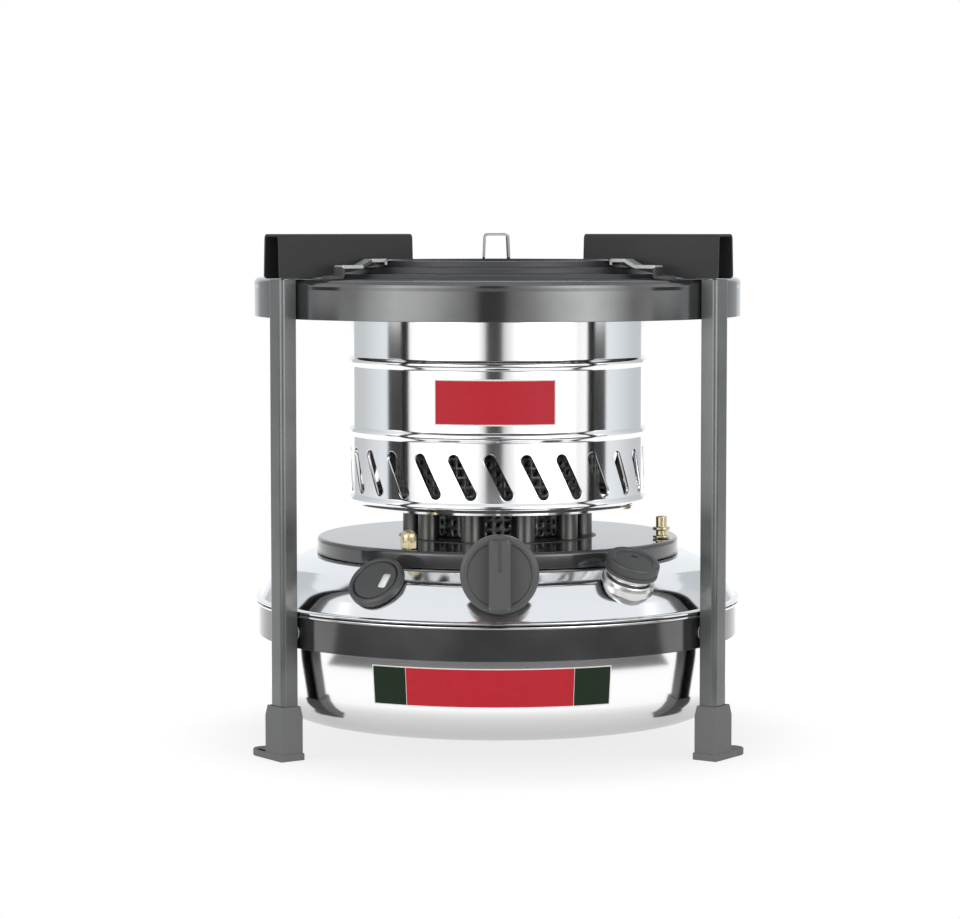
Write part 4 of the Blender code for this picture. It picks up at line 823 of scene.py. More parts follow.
class STOVE_OT_legs(StoveStep):
    """Three folded channel legs, open towards the rings"""

    bl_idname = "stove.legs"
    bl_label = "Legs"

    def execute(self, context):
        sizes = context.scene.stove_frame
        half = sizes.leg_width / 2
        corners = [
            (-half, sizes.leg_inner, 0), (-half, sizes.leg_outer, sizes.leg_fold),
            (half, sizes.leg_outer, sizes.leg_fold), (half, sizes.leg_inner, 0),
        ]
        section = rounded(corners)
        for side, azimuth in LEG_AZIMUTHS.items():
            points = [(across, -out) for across, out in section]
            mesh = raise_line(points, sizes.leg_base, sizes.ring_top, spot(azimuth, 0, 0))
            face_away(mesh, spot(azimuth, sizes.leg_inner, sizes.ring_top / 2).to_translation())
            made = new_object(f"folded_leg_{side}", mesh)
            thicken(made, sizes.leg_sheet)
            # The inside of each channel takes the darker copy of the leg paint as painted shade.
            made.modifiers["sheet"].material_offset = 1
            soften(made, sizes.sheet_edge)
            node = f"leg_{side}"
            dress(made, "leg_paint", [node], "leg_inside")
        return {"FINISHED"}


class STOVE_OT_feet(StoveStep):
    """Three plastic boots with a tongue that runs back along the floor"""

    bl_idname = "stove.feet"
    bl_label = "Feet"

    def execute(self, context):
        sizes = context.scene.stove_frame
        for side in LEG_AZIMUTHS:
            made = new_object(f"moulded_foot_{side}", node_mesh(f"foot_{side}"))
            soften(made, sizes.foot_edge, 3)
            dress(made, "foot_plastic", [f"foot_{side}"])
        return {"FINISHED"}


class STOVE_OT_rings(StoveStep):
    """Top ring with its rolled edge, and the plain band that carries the tank"""

    bl_idname = "stove.rings"
    bl_label = "Rings"

    def execute(self, context):
        sizes = context.scene.stove_frame
        radius = sizes.ring_radius
        proud = radius + sizes.ring_roll
        top = sizes.ring_top
        corners = [
            (radius, sizes.ring_base, 0), (radius, top - sizes.roll_depth, sizes.roll_run),
            (proud, top - sizes.roll_depth + sizes.roll_run, sizes.roll_run),
            (proud, top, sizes.ring_round), (sizes.ring_lip, top, 0),
        ]
        ring = turned_sheet("rolled_top_ring", corners, 0, sizes.ring_sheet)
        soften(ring, sizes.sheet_edge)
        dress(ring, "ring_gloss", ["top_ring"])
        inner = sizes.band_radius - sizes.band_sheet
        corner = sizes.sheet_edge
        corners = [
            (inner, sizes.band_base, corner), (sizes.band_radius, sizes.band_base, corner),
            (sizes.band_radius, sizes.band_top, corner), (inner, sizes.band_top, corner),
        ]
        settings = {"steps": sizes.turn_steps, "edge": corner, "closed": True, "arcs": 3}
        band = turned("tank_band", corners, **settings)
        dress(band, "ring_gloss", ["tank_ring"])
        return {"FINISHED"}


class STOVE_OT_rivets(StoveStep):
    """Rivets with low round heads between the tank ring and the legs"""

    bl_idname = "stove.rivets"
    bl_label = "Rivets"

    def execute(self, context):
        sizes = context.scene.stove_frame
        level = (sizes.band_base + sizes.band_top) / 2
        start = sizes.band_radius
        end = sizes.leg_outer - sizes.leg_sheet - start
        head, shank, rim = sizes.rivet_head, sizes.rivet_radius, sizes.rivet_rim
        outline = [
            (0, 0), (head, 0), (head, rim), (shank, sizes.rivet_inside),
            (shank, end - sizes.rivet_outside), (head, end - rim), (head, end), (0, end),
        ]
        for side, azimuth in LEG_AZIMUTHS.items():
            place = spot(azimuth, start, level, math.pi / 2)
            made = new_object(f"round_rivet_{side}", lathe(outline, 32, place))
            soften(made, sizes.sheet_edge)
            dress(made, "bright_steel", [f"rivet_{side}"])
        return {"FINISHED"}


class STOVE_OT_supports(StoveStep):
    """Folded pan supports, cut to clear the shield's steps and rounded at the outer end"""

    bl_idname = "stove.supports"
    bl_label = "Pan supports"

    def execute(self, context):
        sizes = context.scene.stove_frame
        half_top = sizes.support_top_width / 2
        half_foot = sizes.support_foot_width / 2
        corners = [
            (half_foot, sizes.support_seat, 0), (half_top, sizes.support_top, sizes.support_fold),
            (-half_top, sizes.support_top, sizes.support_fold),
            (-half_foot, sizes.support_seat, 0),
        ]
        section = rounded(corners)
        low = sizes.support_seat
        end = sizes.support_outer
        corner = sizes.support_corner
        reach = 0.0040
        beyond = 0.0200
        corners = [
            (sizes.support_inner - reach, low - reach, 0),
            (sizes.support_inner - reach, SKIRT_STEPS[0][1], 0), *SKIRT_STEPS,
            (SKIRT_HEEL[0], low, SKIRT_HEEL[1]), (end, low, corner),
            (end, low + corner + reach, 0), (end + reach, low + corner + reach, 0),
            (end + reach, low - reach, 0),
        ]
        below = rounded(corners)
        for side, azimuth in LEG_AZIMUTHS.items():
            mesh = raise_line(section, sizes.support_inner, end, outward(azimuth))
            middle = (sizes.support_inner + end) / 2
            face_away(mesh, spot(azimuth, middle, low).to_translation())
            made = new_object(f"folded_support_{side}", mesh)
            thicken(made, sizes.support_sheet)
            combine(made, prism(below, -beyond, beyond, side_plane(azimuth)))
            inward = -spot(azimuth, 1, 0).to_translation()
            # The inward cut edges are bare steel, painted light grey as a painted reflection; the
            # rest takes the dark support paint.
            second_look(made, lambda face: face.normal.dot(inward) > FACES_INWARD)
            soften(made, sizes.sheet_edge)
            node = f"pan_support_{side}"
            dress(made, "cut_edge", [node], "support_paint")
        return {"FINISHED"}


class STOVE_OT_shield(StoveStep):
    """Stepped heat shield round the flame opening"""

    bl_idname = "stove.shield"
    bl_label = "Heat shield"

    def execute(self, context):
        sizes = context.scene.stove_frame
        corners = [(sizes.shield_radii[0], sizes.shield_levels[0], 0)]
        for radius, low, high in zip(
            sizes.shield_radii[1:], sizes.shield_levels, sizes.shield_levels[1:]
        ):
            corners.append((radius + sizes.shield_riser, low, sizes.shield_fillet))
            corners.append((radius - sizes.shield_riser, high, sizes.shield_fillet))
        corners.append((sizes.shield_opening, sizes.shield_levels[-1], 0))
        made = turned_sheet("stepped_shield", corners, -1, sizes.shield_sheet)
        soften(made, sizes.sheet_edge)
        dress(made, "black_enamel", ["heat_shield"])
        return {"FINISHED"}


class STOVE_OT_lugs(StoveStep):
    """Cranked strips between the ring and the shield, bright on top, with painted shade
    underneath, on the upright and foot, and on the left lug's sloping edge
    """

    bl_idname = "stove.lugs"
    bl_label = "Lugs"

    def execute(self, context):
        sizes = context.scene.stove_frame
        half = sizes.lug_width / 2
        foot = sizes.ring_top + sizes.air_gap + sizes.lug_sheet
        low = sizes.ring_top + sizes.lug_low
        high = sizes.ring_top + sizes.lug_high
        bend = sizes.lug_bend
        middle = (sizes.lug_riser + sizes.lug_inner) / 2
        for side, azimuth in LUG_AZIMUTHS.items():
            crest = high - (sizes.lug_dip if side == "rear" else 0)
            path = [
                (sizes.lug_foot, foot, 0), (sizes.lug_riser, foot, bend / 2),
                (sizes.lug_riser, low, bend), (sizes.lug_crank, low, 3 * bend),
                (sizes.lug_crest, crest, 3 * bend), (sizes.lug_inner, crest, bend / 2),
                (sizes.lug_inner, high - sizes.lug_drop, 0),
            ]
            mesh = raise_line(rounded(path), -half, half, side_plane(azimuth))
            face_away(mesh, spot(azimuth, middle, sizes.ring_top).to_translation())
            made = new_object(f"bent_lug_{side}", mesh)
            thicken(made, sizes.lug_sheet)
            settle(made)
            along = spot(azimuth, 0, 0).col[0].to_3d()
            level = low - sizes.lug_sheet * 1.2
            slope = (sizes.lug_crank + sizes.lug_crest) / 2
            shaded = (sizes.lug_crank - slope) * (sizes.lug_shadow if side == "left" else 0)
            # Tops and the cut ends along the strip stay bright; undersides, the upright, the foot
            # and the middle of the left lug's sloping edge take the dark steel as painted shade.
            second_look(
                made,
                lambda face: face.center.z > level
                and (
                    face.normal.z > FACES_UP
                    or abs(face.normal.dot(along)) > FACES_ALONG
                    and abs(face.center.xy.length - slope) >= shaded
                ),
            )
            soften(made, sizes.sheet_edge)
            node = f"lug_{side}"
            dress(made, "bright_steel", [node], "heat_dark")
        return {"FINISHED"}


class STOVE_OT_tank(StoveStep):
    """Polished tank: pan with its rolled lip below, dome above"""

    bl_idname = "stove.tank"
    bl_label = "Tank"

    def execute(self, context):
        sizes = context.scene.stove_tank
        edge = context.scene.stove_frame.sheet_edge
        seam = sizes.seam_radius
        lip = sizes.pan_lip_height
        corners = [
            (0, sizes.pan_base, 0), (sizes.pan_foot, sizes.pan_base, sizes.pan_corner),
            (sizes.pan_belly, sizes.pan_belly_height, sizes.pan_bend),
            (sizes.pan_lip, lip, sizes.pan_lip_round), (seam, lip, 0),
        ]
        middle = (sizes.pan_base + lip) / 2
        pan = turned_sheet("polished_pan", corners, middle, sizes.sheet, arcs=10)
        soften(pan, edge)
        dress(pan, "polished_steel", ["tank_pan"])
        corners = [(seam, sizes.dome_foot, 0), (seam, sizes.seam_top, 0.0004), *DOME_SHOULDER]
        dome = turned_sheet("polished_dome", corners, FAR_BELOW, sizes.sheet, arcs=8)
        soften(dome, edge)
        dress(dome, "polished_steel", ["tank_dome"])
        return {"FINISHED"}


class STOVE_OT_deck(StoveStep):
    """Dark gloss deck over the dome, notched for the spindle"""

    bl_idname = "stove.deck"
    bl_label = "Deck"

    def execute(self, context):
        sizes = context.scene.stove_tank
        corners = [
            (sizes.deck_radius, sizes.deck_base, 0),
            (sizes.deck_radius, sizes.deck_top, sizes.deck_edge),
            (sizes.deck_opening, sizes.deck_top, 0),
        ]
        made = turned_sheet("gloss_deck", corners, FAR_BELOW, sizes.sheet, arcs=7)
        half = sizes.deck_notch / 2
        reach = 0.0060
        corners = [
            (-half, sizes.deck_base - reach, 0), (half, sizes.deck_base - reach, 0),
            (half, sizes.knob_height + half, half * 0.98),
            (-half, sizes.knob_height + half, half * 0.98),
        ]
        notch = rounded(corners, closed=True)
        low = sizes.deck_radius - reach
        high = sizes.deck_radius + reach
        combine(made, prism(notch, low, high, outward(0)))
        soften(made, context.scene.stove_frame.sheet_edge)
        dress(made, "deck_gloss", ["deck_plate"])
        return {"FINISHED"}


class STOVE_OT_studs(StoveStep):
    """Brass studs: two with domed nuts and one tall post with a cross flange"""

    bl_idname = "stove.studs"
    bl_label = "Brass studs"

    def execute(self, context):
        sizes = context.scene.stove_tank
        seat = sizes.deck_top + context.scene.stove_frame.air_gap
        nut = sizes.nut_radius
        stud, end = sizes.stud_radius, sizes.stud_end
        post, top = sizes.post_radius, sizes.post_top
        for side, azimuth in STUD_AZIMUTHS.items():
            place = spot(azimuth, sizes.stud_circle, 0)
            hexagon = [
                (nut * math.cos(FULL_TURN * k / 6), nut * math.sin(FULL_TURN * k / 6))
                for k in range(6)
            ]
            if side == "right":
                corners = [
                    (0, end, 0), (stud, end, 0), (stud, seat, 0), (nut, seat, 0),
                    (nut, seat + 0.0012, 0.0005), (post, seat + 0.0014, 0.0004),
                    (post, seat + 0.0040, 0.0004), (nut, seat + 0.0040, 0.0005),
                    (nut, seat + 0.0056, 0.0005), (post, seat + 0.0056, 0.0004),
                    (post, seat + 0.0062, 0.0004), (post, top, 0.0008), (0, top, 0),
                ]
                mesh = lathe(rounded(corners), 40, place)
            else:
                corners = [
                    (0, end, 0), (stud, end, 0), (stud, seat + 0.0030, 0),
                    (nut * 0.92, seat + 0.0030, 0), (nut * 0.92, seat + 0.0086, 0.0034),
                    (0, seat + 0.0094, 0),
                ]
                body = prism(hexagon, seat, seat + 0.0040, place)
                mesh = joined(lathe(rounded(corners, steps=8), 40, place), body)
            made = new_object(f"brass_stud_{side}", mesh)
            soften(made, 0.0003)
            dress(made, "brass", [f"deck_stud_{side}"])
        return {"FINISHED"}


class STOVE_OT_filler(StoveStep):
    """Steel filler neck with a base bead, and its grooved screw cap"""

    bl_idname = "stove.filler"
    bl_label = "Filler"

    def execute(self, context):
        sizes = context.scene.stove_tank
        place = spot(
            sizes.filler_azimuth, sizes.filler_seat, sizes.filler_height, sizes.filler_tilt
        )
        radius = sizes.neck_radius
        bead = radius + sizes.neck_bead
        corners = [
            (radius - 0.0010, -0.0110, 0), (radius, -0.0110, 0), (radius, -0.0026, 0),
            (bead + 0.0006, -0.0026, 0), (bead + 0.0006, 0.0006, 0.0010), (bead, 0.0030, 0.0014),
            (radius, 0.0034, 0.0008), (radius, 0.0098, 0.0003), (radius - 0.0010, 0.0098, 0.0003),
        ]
        neck = turned("beaded_neck", corners, place, closed=True)
        dress(neck, "dull_steel", ["filler_neck"])
        edge = sizes.cap_radius
        roof = 0.0116
        corners = [
            (0, roof, 0), (edge - 0.0015, roof, 0), (edge - 0.0015, 0.0063, 0.0003),
            (edge, 0.0063, 0.0003), (edge, 0.0079, 0.0002), (edge - 0.0006, 0.0082, 0.0002),
            (edge - 0.0006, 0.0087, 0.0002), (edge, 0.0090, 0.0002),
            (edge - 0.0002, 0.0132, 0.0013), (0.0098, 0.0132, 0.0004), (0.0094, 0.0126, 0.0004),
            (0, 0.0126, 0),
        ]
        cap = new_object("grooved_cap", lathe(rounded(corners), 96, place))
        vent = place @ Matrix.Translation((0.0020, 0.0030, 0))
        drill = lathe([(0, 0.0118), (0.0016, 0.0118), (0.0016, 0.0150), (0, 0.0150)], 24, vent)
        combine(cap, drill)
        soften(cap, FINE_EDGE)
        dress(cap, "black_plastic", ["filler_cap"], body="filler_cap_top")
        return {"FINISHED"}


class STOVE_OT_gauge(StoveStep):
    """Fuel gauge: flanged black body, black face and the white card in its window"""

    bl_idname = "stove.gauge"
    bl_label = "Fuel gauge"

    def execute(self, context):
        sizes = context.scene.stove_tank
        place = spot(sizes.gauge_azimuth, sizes.gauge_seat, sizes.gauge_height, sizes.gauge_tilt)
        radius = sizes.gauge_radius
        corners = [
            (0, -0.0100, 0), (0.0060, -0.0100, 0.0004), (0.0060, 0.0020, 0), (0.0112, 0.0026, 0),
            (0.0118, 0.0042, 0.0003), (radius, 0.0042, 0.0003), (radius, 0.0073, 0.0006),
            (0.0134, 0.0081, 0.0006), (0.0122, 0.0081, 0.0004), (0.0114, 0.0065, 0.0002),
            (0, 0.0065, 0),
        ]
        body = turned("flanged_gauge", corners, place)
        dress(body, "black_plastic", ["gauge_body"])
        corners = [
            (0, 0.0069, 0), (sizes.gauge_lens, 0.0069, 0), (sizes.gauge_lens, 0.0076, 0.0003),
            (0, 0.0076, 0),
        ]
        face = new_object("gauge_face", lathe(rounded(corners), 64, place))
        left = sizes.window_offset - sizes.window_width / 2
        right = sizes.window_offset + sizes.window_width / 2
        half = sizes.window_height / 2
        corner = sizes.window_corner
        corners = ((left, -half), (right, -half), (right, half), (left, half))
        window = rounded([(x, y, corner) for x, y in corners], closed=True)
        combine(face, prism(window, 0.0071, 0.0090, place))
        soften(face, 0.00015)
        dress(face, "black_plastic", ["gauge_lens"])
        card = new_object("gauge_card", prism(window, 0.00705, 0.00740, place))
        dress(card, "gauge_card")
        return {"FINISHED"}


class STOVE_OT_knob(StoveStep):
    """Control knob: round disc with an upright grip rib and a line along it"""

    bl_idname = "stove.knob"
    bl_label = "Knob"

    def execute(self, context):
        sizes = context.scene.stove_tank
        place = Matrix.Translation((0, -sizes.knob_back, sizes.knob_height))
        place = place @ Matrix.Rotation(math.pi / 2, 4, "X")
        radius = sizes.knob_radius
        disc = sizes.knob_disc
        corners = [
            (0, -sizes.hub_depth, 0), (sizes.hub_radius, -sizes.hub_depth, 0.0004),
            (sizes.hub_radius, 0, 0.0004),
            (radius - 0.0012, 0, 0.0008), (radius, 0.0014, 0.0008),
            (radius, disc - 0.0012, 0.0008), (radius - 0.0014, disc, 0.0006),
            (radius - 0.0032, disc, 0.0004), (radius - 0.0038, disc - 0.0007, 0.0004),
            (0, disc - 0.0007, 0),
        ]
        made = new_object("ribbed_knob", lathe(rounded(corners), 128, place))
        half_x = sizes.knob_rib / 2
        turn = sizes.rib_round
        half_y = radius * sizes.rib_length
        corners = [
            (-half_x, -half_y, turn), (half_x, -half_y, turn), (half_x, half_y, turn),
            (-half_x, half_y, turn),
        ]
        top = sizes.knob_reach
        rib = prism(rounded(corners, closed=True), disc - 0.0015, top, place, sizes.rib_draft)
        combine(made, rib, "UNION")
        line = sizes.knob_groove / 2
        start = half_y * sizes.groove_start
        groove = [(-line, start), (line, start), (line, half_y), (-line, half_y)]
        combine(made, prism(groove, top - sizes.groove_depth, top + 0.0020, place))
        soften(made, sizes.knob_edge, 3)
        dress(made, "knob_plastic", ["knob"], body="wick_knob")
        return {"FINISHED"}


def perforated_tube(radius, low, high, pitch, hole):
    """Sheet tube with rows of small eight-sided holes all over it."""
    columns = round(FULL_TURN * radius / pitch)
    rows = math.floor((high - low) / pitch)
    width = 2 * radius * math.tan(math.pi / columns)
    height = (high - low) / rows
    mesh = bmesh.new()
    rim = bmesh.ops.create_circle(mesh, segments=8, radius=hole)["verts"]
    square = []
    for x, y in ((1, 0), (1, 1), (0, 1), (-1, 1), (-1, 0), (-1, -1), (0, -1), (1, -1)):
        square.append(mesh.verts.new((x * width / 2, y * height / 2, 0)))
    edges = [mesh.edges.new(pair) for pair in zip(square, square[1:] + square[:1])]
    loops = edges + list({edge for vert in rim for edge in vert.link_edges})
    bmesh.ops.bridge_loops(mesh, edges=loops)
    mesh.transform(spot(0, radius, low + height / 2) @ Matrix.Rotation(math.pi / 2, 4, "X"))
    start = list(mesh.verts) + list(mesh.edges) + list(mesh.faces)
    for row in range(1, rows):
        made = bmesh.ops.duplicate(mesh, geom=start)["geom"]
        verts = vertices_in(made)
        bmesh.ops.translate(mesh, vec=(0, 0, row * height), verts=verts)
    turned_copies(mesh, columns)
    bmesh.ops.remove_doubles(mesh, verts=mesh.verts, dist=0.00001)
    return face_away(mesh, (0, 0, (low + high) / 2))


def slot_outline(sizes, margin):
    """Round-ended slot, wider by a margin all round, and leaning to the left at its top."""
    radius = sizes.slot_width / 2
    straight = (sizes.slot_height - sizes.slot_width) / (2 * math.cos(sizes.slot_lean))
    points = []
    for end, start in ((1, 0), (-1, math.pi)):
        for step in range(11):
            turn = start + math.pi * step / 10
            across = (radius + margin) * math.cos(turn)
            points.append(Vector((across, end * straight + (radius + margin) * math.sin(turn))))
    return [Matrix.Rotation(sizes.slot_lean, 2) @ point for point in points]


def slot_lip(sizes):
    """Turned-in lip of one slot, bent round the casing at the front."""
    mesh = bmesh.new()
    loops = []
    for margin, depth in (*LIP_EDGE, (-0.0003, sizes.slot_lip)):
        corners, edges = wire(mesh, slot_outline(sizes, margin), closed=True)
        bmesh.ops.translate(mesh, vec=(0, 0, -depth), verts=corners)
        loops.append(edges)
    for first, second in zip(loops, loops[1:]):
        bmesh.ops.bridge_loops(mesh, edges=first + second)
    for vert in mesh.verts:
        turn = vert.co.x / sizes.casing_radius
        radius = sizes.casing_radius + vert.co.z
        height = sizes.slot_level + vert.co.y
        vert.co = (radius * math.sin(turn), -radius * math.cos(turn), height)
    return mesh


def casing_outline(sizes):
    """Side of the casing, with its three beads."""
    radius = sizes.casing_radius
    corners = [(radius - 0.0004, sizes.casing_base, 0)]
    for share in BEAD_SHARES:
        level = sizes.casing_base + share * (sizes.casing_top - sizes.casing_base)
        corners.append((radius, level - sizes.bead_half, BEAD_FOOT))
        corners.append((radius + sizes.bead_proud, level, BEAD_CREST))
        corners.append((radius, level + sizes.bead_half, BEAD_FOOT))
    corners.append((radius, sizes.casing_top, 0))
    return rounded(corners, steps=6)


def true_round_normals(made, radius):
    """Shade the slotted wall as a true cylinder, whatever the cuts did to its faces."""
    data = made.data
    normals = [Vector(corner.vector) for corner in data.corner_normals]
    for face in data.polygons:
        for loop in face.loop_indices:
            place = data.vertices[data.loops[loop].vertex_index].co
            out = Vector((place.x, place.y, 0))
            on_wall = abs(out.length - radius) < 0.0009 and abs(face.normal.z) < 0.05
            out.normalize()
            if on_wall and abs(face.normal.dot(out)) > 0.97:
                normals[loop] = out if face.normal.dot(out) > 0 else -out
    data.normals_split_custom_set([tuple(normal) for normal in normals])


class STOVE_OT_casing(StoveStep):
    """Mirror-polished casing with three beads and a row of leaning slots"""

    bl_idname = "stove.casing"
    bl_label = "Casing"

    def execute(self, context):
        sizes = context.scene.stove_burner
        steps = context.scene.stove_frame.turn_steps
        middle = (0, 0, sizes.slot_level)
        mesh = face_away(lathe(casing_outline(sizes), steps + 16), middle)
        made = new_object("beaded_casing", mesh)
        made.data.materials.append(finish("polished_steel"))
        made.data.materials.append(finish("heat_dark"))
        thicken(made, sizes.casing_sheet)
        made.modifiers["sheet"].material_offset = 1
        place = spot(0, sizes.casing_radius, sizes.slot_level)
        place = place @ Matrix.Rotation(math.pi / 2, 4, "X")
        reach = 0.0040
        tool = prism(slot_outline(sizes, 0), -reach, reach, place)
        combine(made, turned_copies(tool, sizes.slots))
        made.data.shade_smooth()
        made.data.set_sharp_from_angle(angle=math.radians(40))
        true_round_normals(made, sizes.casing_radius)
        lips = turned_copies(slot_lip(sizes), sizes.slots)
        face_away(lips, (0, 0, 0))
        lip_object = new_object("slot_lips", lips)
        lip_object.data.shade_smooth()
        dress(lip_object, "polished_steel", body="burner_drum")
        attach(made, "burner_drum")
        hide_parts("casing")
        return {"FINISHED"}


class STOVE_OT_spreaders(StoveStep):
    """Two perforated flame spreaders, the lid on the inner one, and the cross pins"""

    bl_idname = "stove.spreaders"
    bl_label = "Flame spreaders"

    def execute(self, context):
        sizes = context.scene.stove_burner
        rows = (
            ("outer", sizes.outer_radius, sizes.outer_base, sizes.outer_top),
            ("inner", sizes.inner_radius, sizes.inner_base, sizes.inner_top),
        )
        for name, radius, low, high in rows:
            mesh = perforated_tube(radius, low, high, sizes.hole_pitch, sizes.hole_radius)
            made = new_object(f"perforated_{name}", mesh)
            thicken(made, sizes.spreader_sheet)
            node = f"{name}_spreader"
            dress(made, "heat_dark", [node], body="burner_drum")
        gap = context.scene.stove_frame.air_gap
        low = sizes.inner_top + gap
        high = low + sizes.cap_rise
        corners = [
            (0, low, 0), (sizes.inner_radius, low, 0.0004), (sizes.inner_radius, high, 0.0022),
            (sizes.lid_rim, high, 0.0030), (sizes.lid_floor, high - sizes.lid_dish, 0.0030),
            (0, high - sizes.lid_dish, 0),
        ]
        lid = turned("spreader_lid", corners)
        dress(lid, "black_enamel", ["spreader_cap"], body="burner_drum")
        start = sizes.inner_radius + gap
        end = sizes.casing_radius - sizes.casing_sheet - 2 * gap - start
        corners = [
            (0, 0, 0), (sizes.pin_radius, 0, 0.0004), (sizes.pin_radius, end, 0.0004), (0, end, 0),
        ]
        outline = rounded(corners)
        for side, azimuth in PIN_AZIMUTHS.items():
            place = spot(azimuth, start, sizes.pin_level, math.pi / 2)
            pin = new_object(f"round_pin_{side}", lathe(outline, 24, place))
            node = f"cross_pin_{side}"
            dress(pin, "bright_steel", [node], body="burner_drum")
        return {"FINISHED"}


class STOVE_OT_gallery(StoveStep):
    """Gallery plate in the deck with its ring of wick tubes"""

    bl_idname = "stove.gallery"
    bl_label = "Wick gallery"

    def execute(self, context):
        sizes = context.scene.stove_burner
        radius = context.scene.stove_tank.deck_opening - context.scene.stove_frame.air_gap
        base, step, top = sizes.gallery_base, sizes.gallery_step, sizes.gallery_top
        flange = radius + sizes.gallery_flange
        corners = [
            (0, base, 0), (flange, base, 0.0004), (flange, step, 0.0004),
            (radius, step, 0), (radius, top, 0.0006), (0, top, 0),
        ]
        outline = rounded(corners)
        mesh = lathe(outline, 128)
        corners = [
            (sizes.tube_radius - sizes.tube_sheet, sizes.tube_base, 0),
            (sizes.tube_radius, sizes.tube_base, 0), (sizes.tube_radius, sizes.tube_top, 0.0003),
            (sizes.tube_radius - sizes.tube_sheet, sizes.tube_top, 0.0003),
        ]
        tube = rounded(corners, steps=2, closed=True)
        half_step = FULL_TURN / sizes.wicks / 2
        first = lathe(tube, 32, spot(half_step, sizes.wick_circle, 0), closed=True)
        mesh = joined(mesh, turned_copies(first, sizes.wicks))
        made = new_object("tubed_gallery", mesh)
        soften(made, FINE_EDGE)
        dress(made, "heat_dark", ["wick_gallery"])
        return {"FINISHED"}


class STOVE_OT_wicks(StoveStep):
    """Ten plaited cotton wicks"""

    bl_idname = "stove.wicks"
    bl_label = "Wicks"

    def execute(self, context):
        sizes = context.scene.stove_burner
        step = FULL_TURN / sizes.wicks
        rows = sizes.plait_rows
        tip, shrink, dip = 0.0015, 0.0008, 0.0003
        rise = (sizes.wick_top - tip - sizes.wick_base) / rows
        outline = [(0, sizes.wick_base)]
        for row in range(rows + 1):
            inset = sizes.plait if row % 2 else 0
            outline.append((sizes.wick_radius - inset, sizes.wick_base + row * rise))
        outline += [(sizes.wick_radius - shrink, sizes.wick_top), (0, sizes.wick_top - dip)]
        for number in range(1, sizes.wicks + 1):
            place = spot(step * (number - 1 / 2), sizes.wick_circle, 0)
            made = new_object(f"woven_wick_{number}", lathe(outline, 24, place))
            node = f"wick_{number}"
            dress(made, "wick_cotton", [node], body="wick_lift")
        return {"FINISHED"}


class STOVE_OT_labels(StoveStep):
    """Two plain enamel plates, each a red face on a pale border"""

    bl_idname = "stove.labels"
    bl_label = "Label plates"

    def execute(self, context):
        casing = context.scene.stove_burner.casing_radius
        tank = context.scene.stove_tank
        for name, look, left, right, low, high, proud in UPPER_PLATE:
            made = plate(name, (casing, low), (casing, high), left, right, proud)
            dress(made, look, body="burner_drum")
        for name, look, left, right, low, high, proud in LOWER_PLATE:
            start = (pan_radius(tank, low), low)
            made = plate(name, start, (pan_radius(tank, high), high), left, right, proud)
            dress(made, look)
        return {"FINISHED"}


def pan_radius(sizes, level):
    """Radius of the tank's wall at a height."""
    rise = level - sizes.pan_belly_height
    if rise < 0:
        far, height = sizes.pan_foot, sizes.pan_base
    else:
        far, height = sizes.pan_lip, sizes.pan_lip_height
    slope = (far - sizes.pan_belly) / (height - sizes.pan_belly_height)
    return sizes.pan_belly + rise * slope


def plate(name, foot, head, left, right, proud):
    """Thin plate on a turned wall, between two distances to the left and the right."""
    radius = (foot[0] + head[0]) / 2
    start = math.asin(left / radius)
    end = math.asin(right / radius)
    back = 0.0001
    outline = [
        (foot[0] - back, foot[1]), (foot[0] + proud, foot[1]), (head[0] + proud, head[1]),
        (head[0] - back, head[1]),
    ]
    turn = Matrix.Rotation((start + end) / 2, 4, "Z")
    mesh = lathe(outline, 48, turn, closed=True, sweep=end - start)
    bmesh.ops.holes_fill(mesh, edges=[edge for edge in mesh.edges if edge.is_boundary])
    bmesh.ops.recalc_face_normals(mesh, faces=mesh.faces)
    made = new_object(name, mesh)
    soften(made, 0.00006, 1)
    return made


class STOVE_OT_works(StoveStep):
    """Finishes of the hidden works that keep their CAD shapes"""

    bl_idname = "stove.works"
    bl_label = "Hidden works"

    def execute(self, context):
        looks = {
            "heat_dark": ("rack_housing",),
            "dull_steel": ("spindle_bracket", "wick_carrier"),
            "bright_steel": ("spindle", "gauge_bracket", "gauge_lever"),
            "brass": ("pinion", "rack"),
            "cork": ("gauge_float",),
            "rubber": ("cap_seal",),
        }
        for look, nodes in looks.items():
            for node in nodes:
                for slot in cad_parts[node].material_slots:
                    slot.material = finish(look)
        return {"FINISHED"}


def stage_sheet(name, width, height, place, look):
    """Flat rectangle that belongs to the studio."""
    mesh = bmesh.new()
    bmesh.ops.create_grid(mesh, x_segments=1, y_segments=1, size=0.5)
    bmesh.ops.scale(mesh, vec=(width, height, 1), verts=mesh.verts)
    mesh.transform(place)
    made = new_object(name, mesh)
    made.data.materials.append(look)
    return made


def seen_share(tree):
    """One for the rays of the camera and the mirrors, and nought for those that only light."""
    rays = add_node(tree, "ShaderNodeLightPath").outputs
    first = add_node(tree, "ShaderNodeMath", operation="ADD", use_clamp=True)
    tree.links.new(rays["Is Camera Ray"], first.inputs[0])
    tree.links.new(rays["Is Glossy Ray"], first.inputs[1])
    second = add_node(tree, "ShaderNodeMath", operation="ADD", use_clamp=True)
    tree.links.new(first.outputs[0], second.inputs[0])
    tree.links.new(rays["Is Transmission Ray"], second.inputs[1])
    return second.outputs[0]


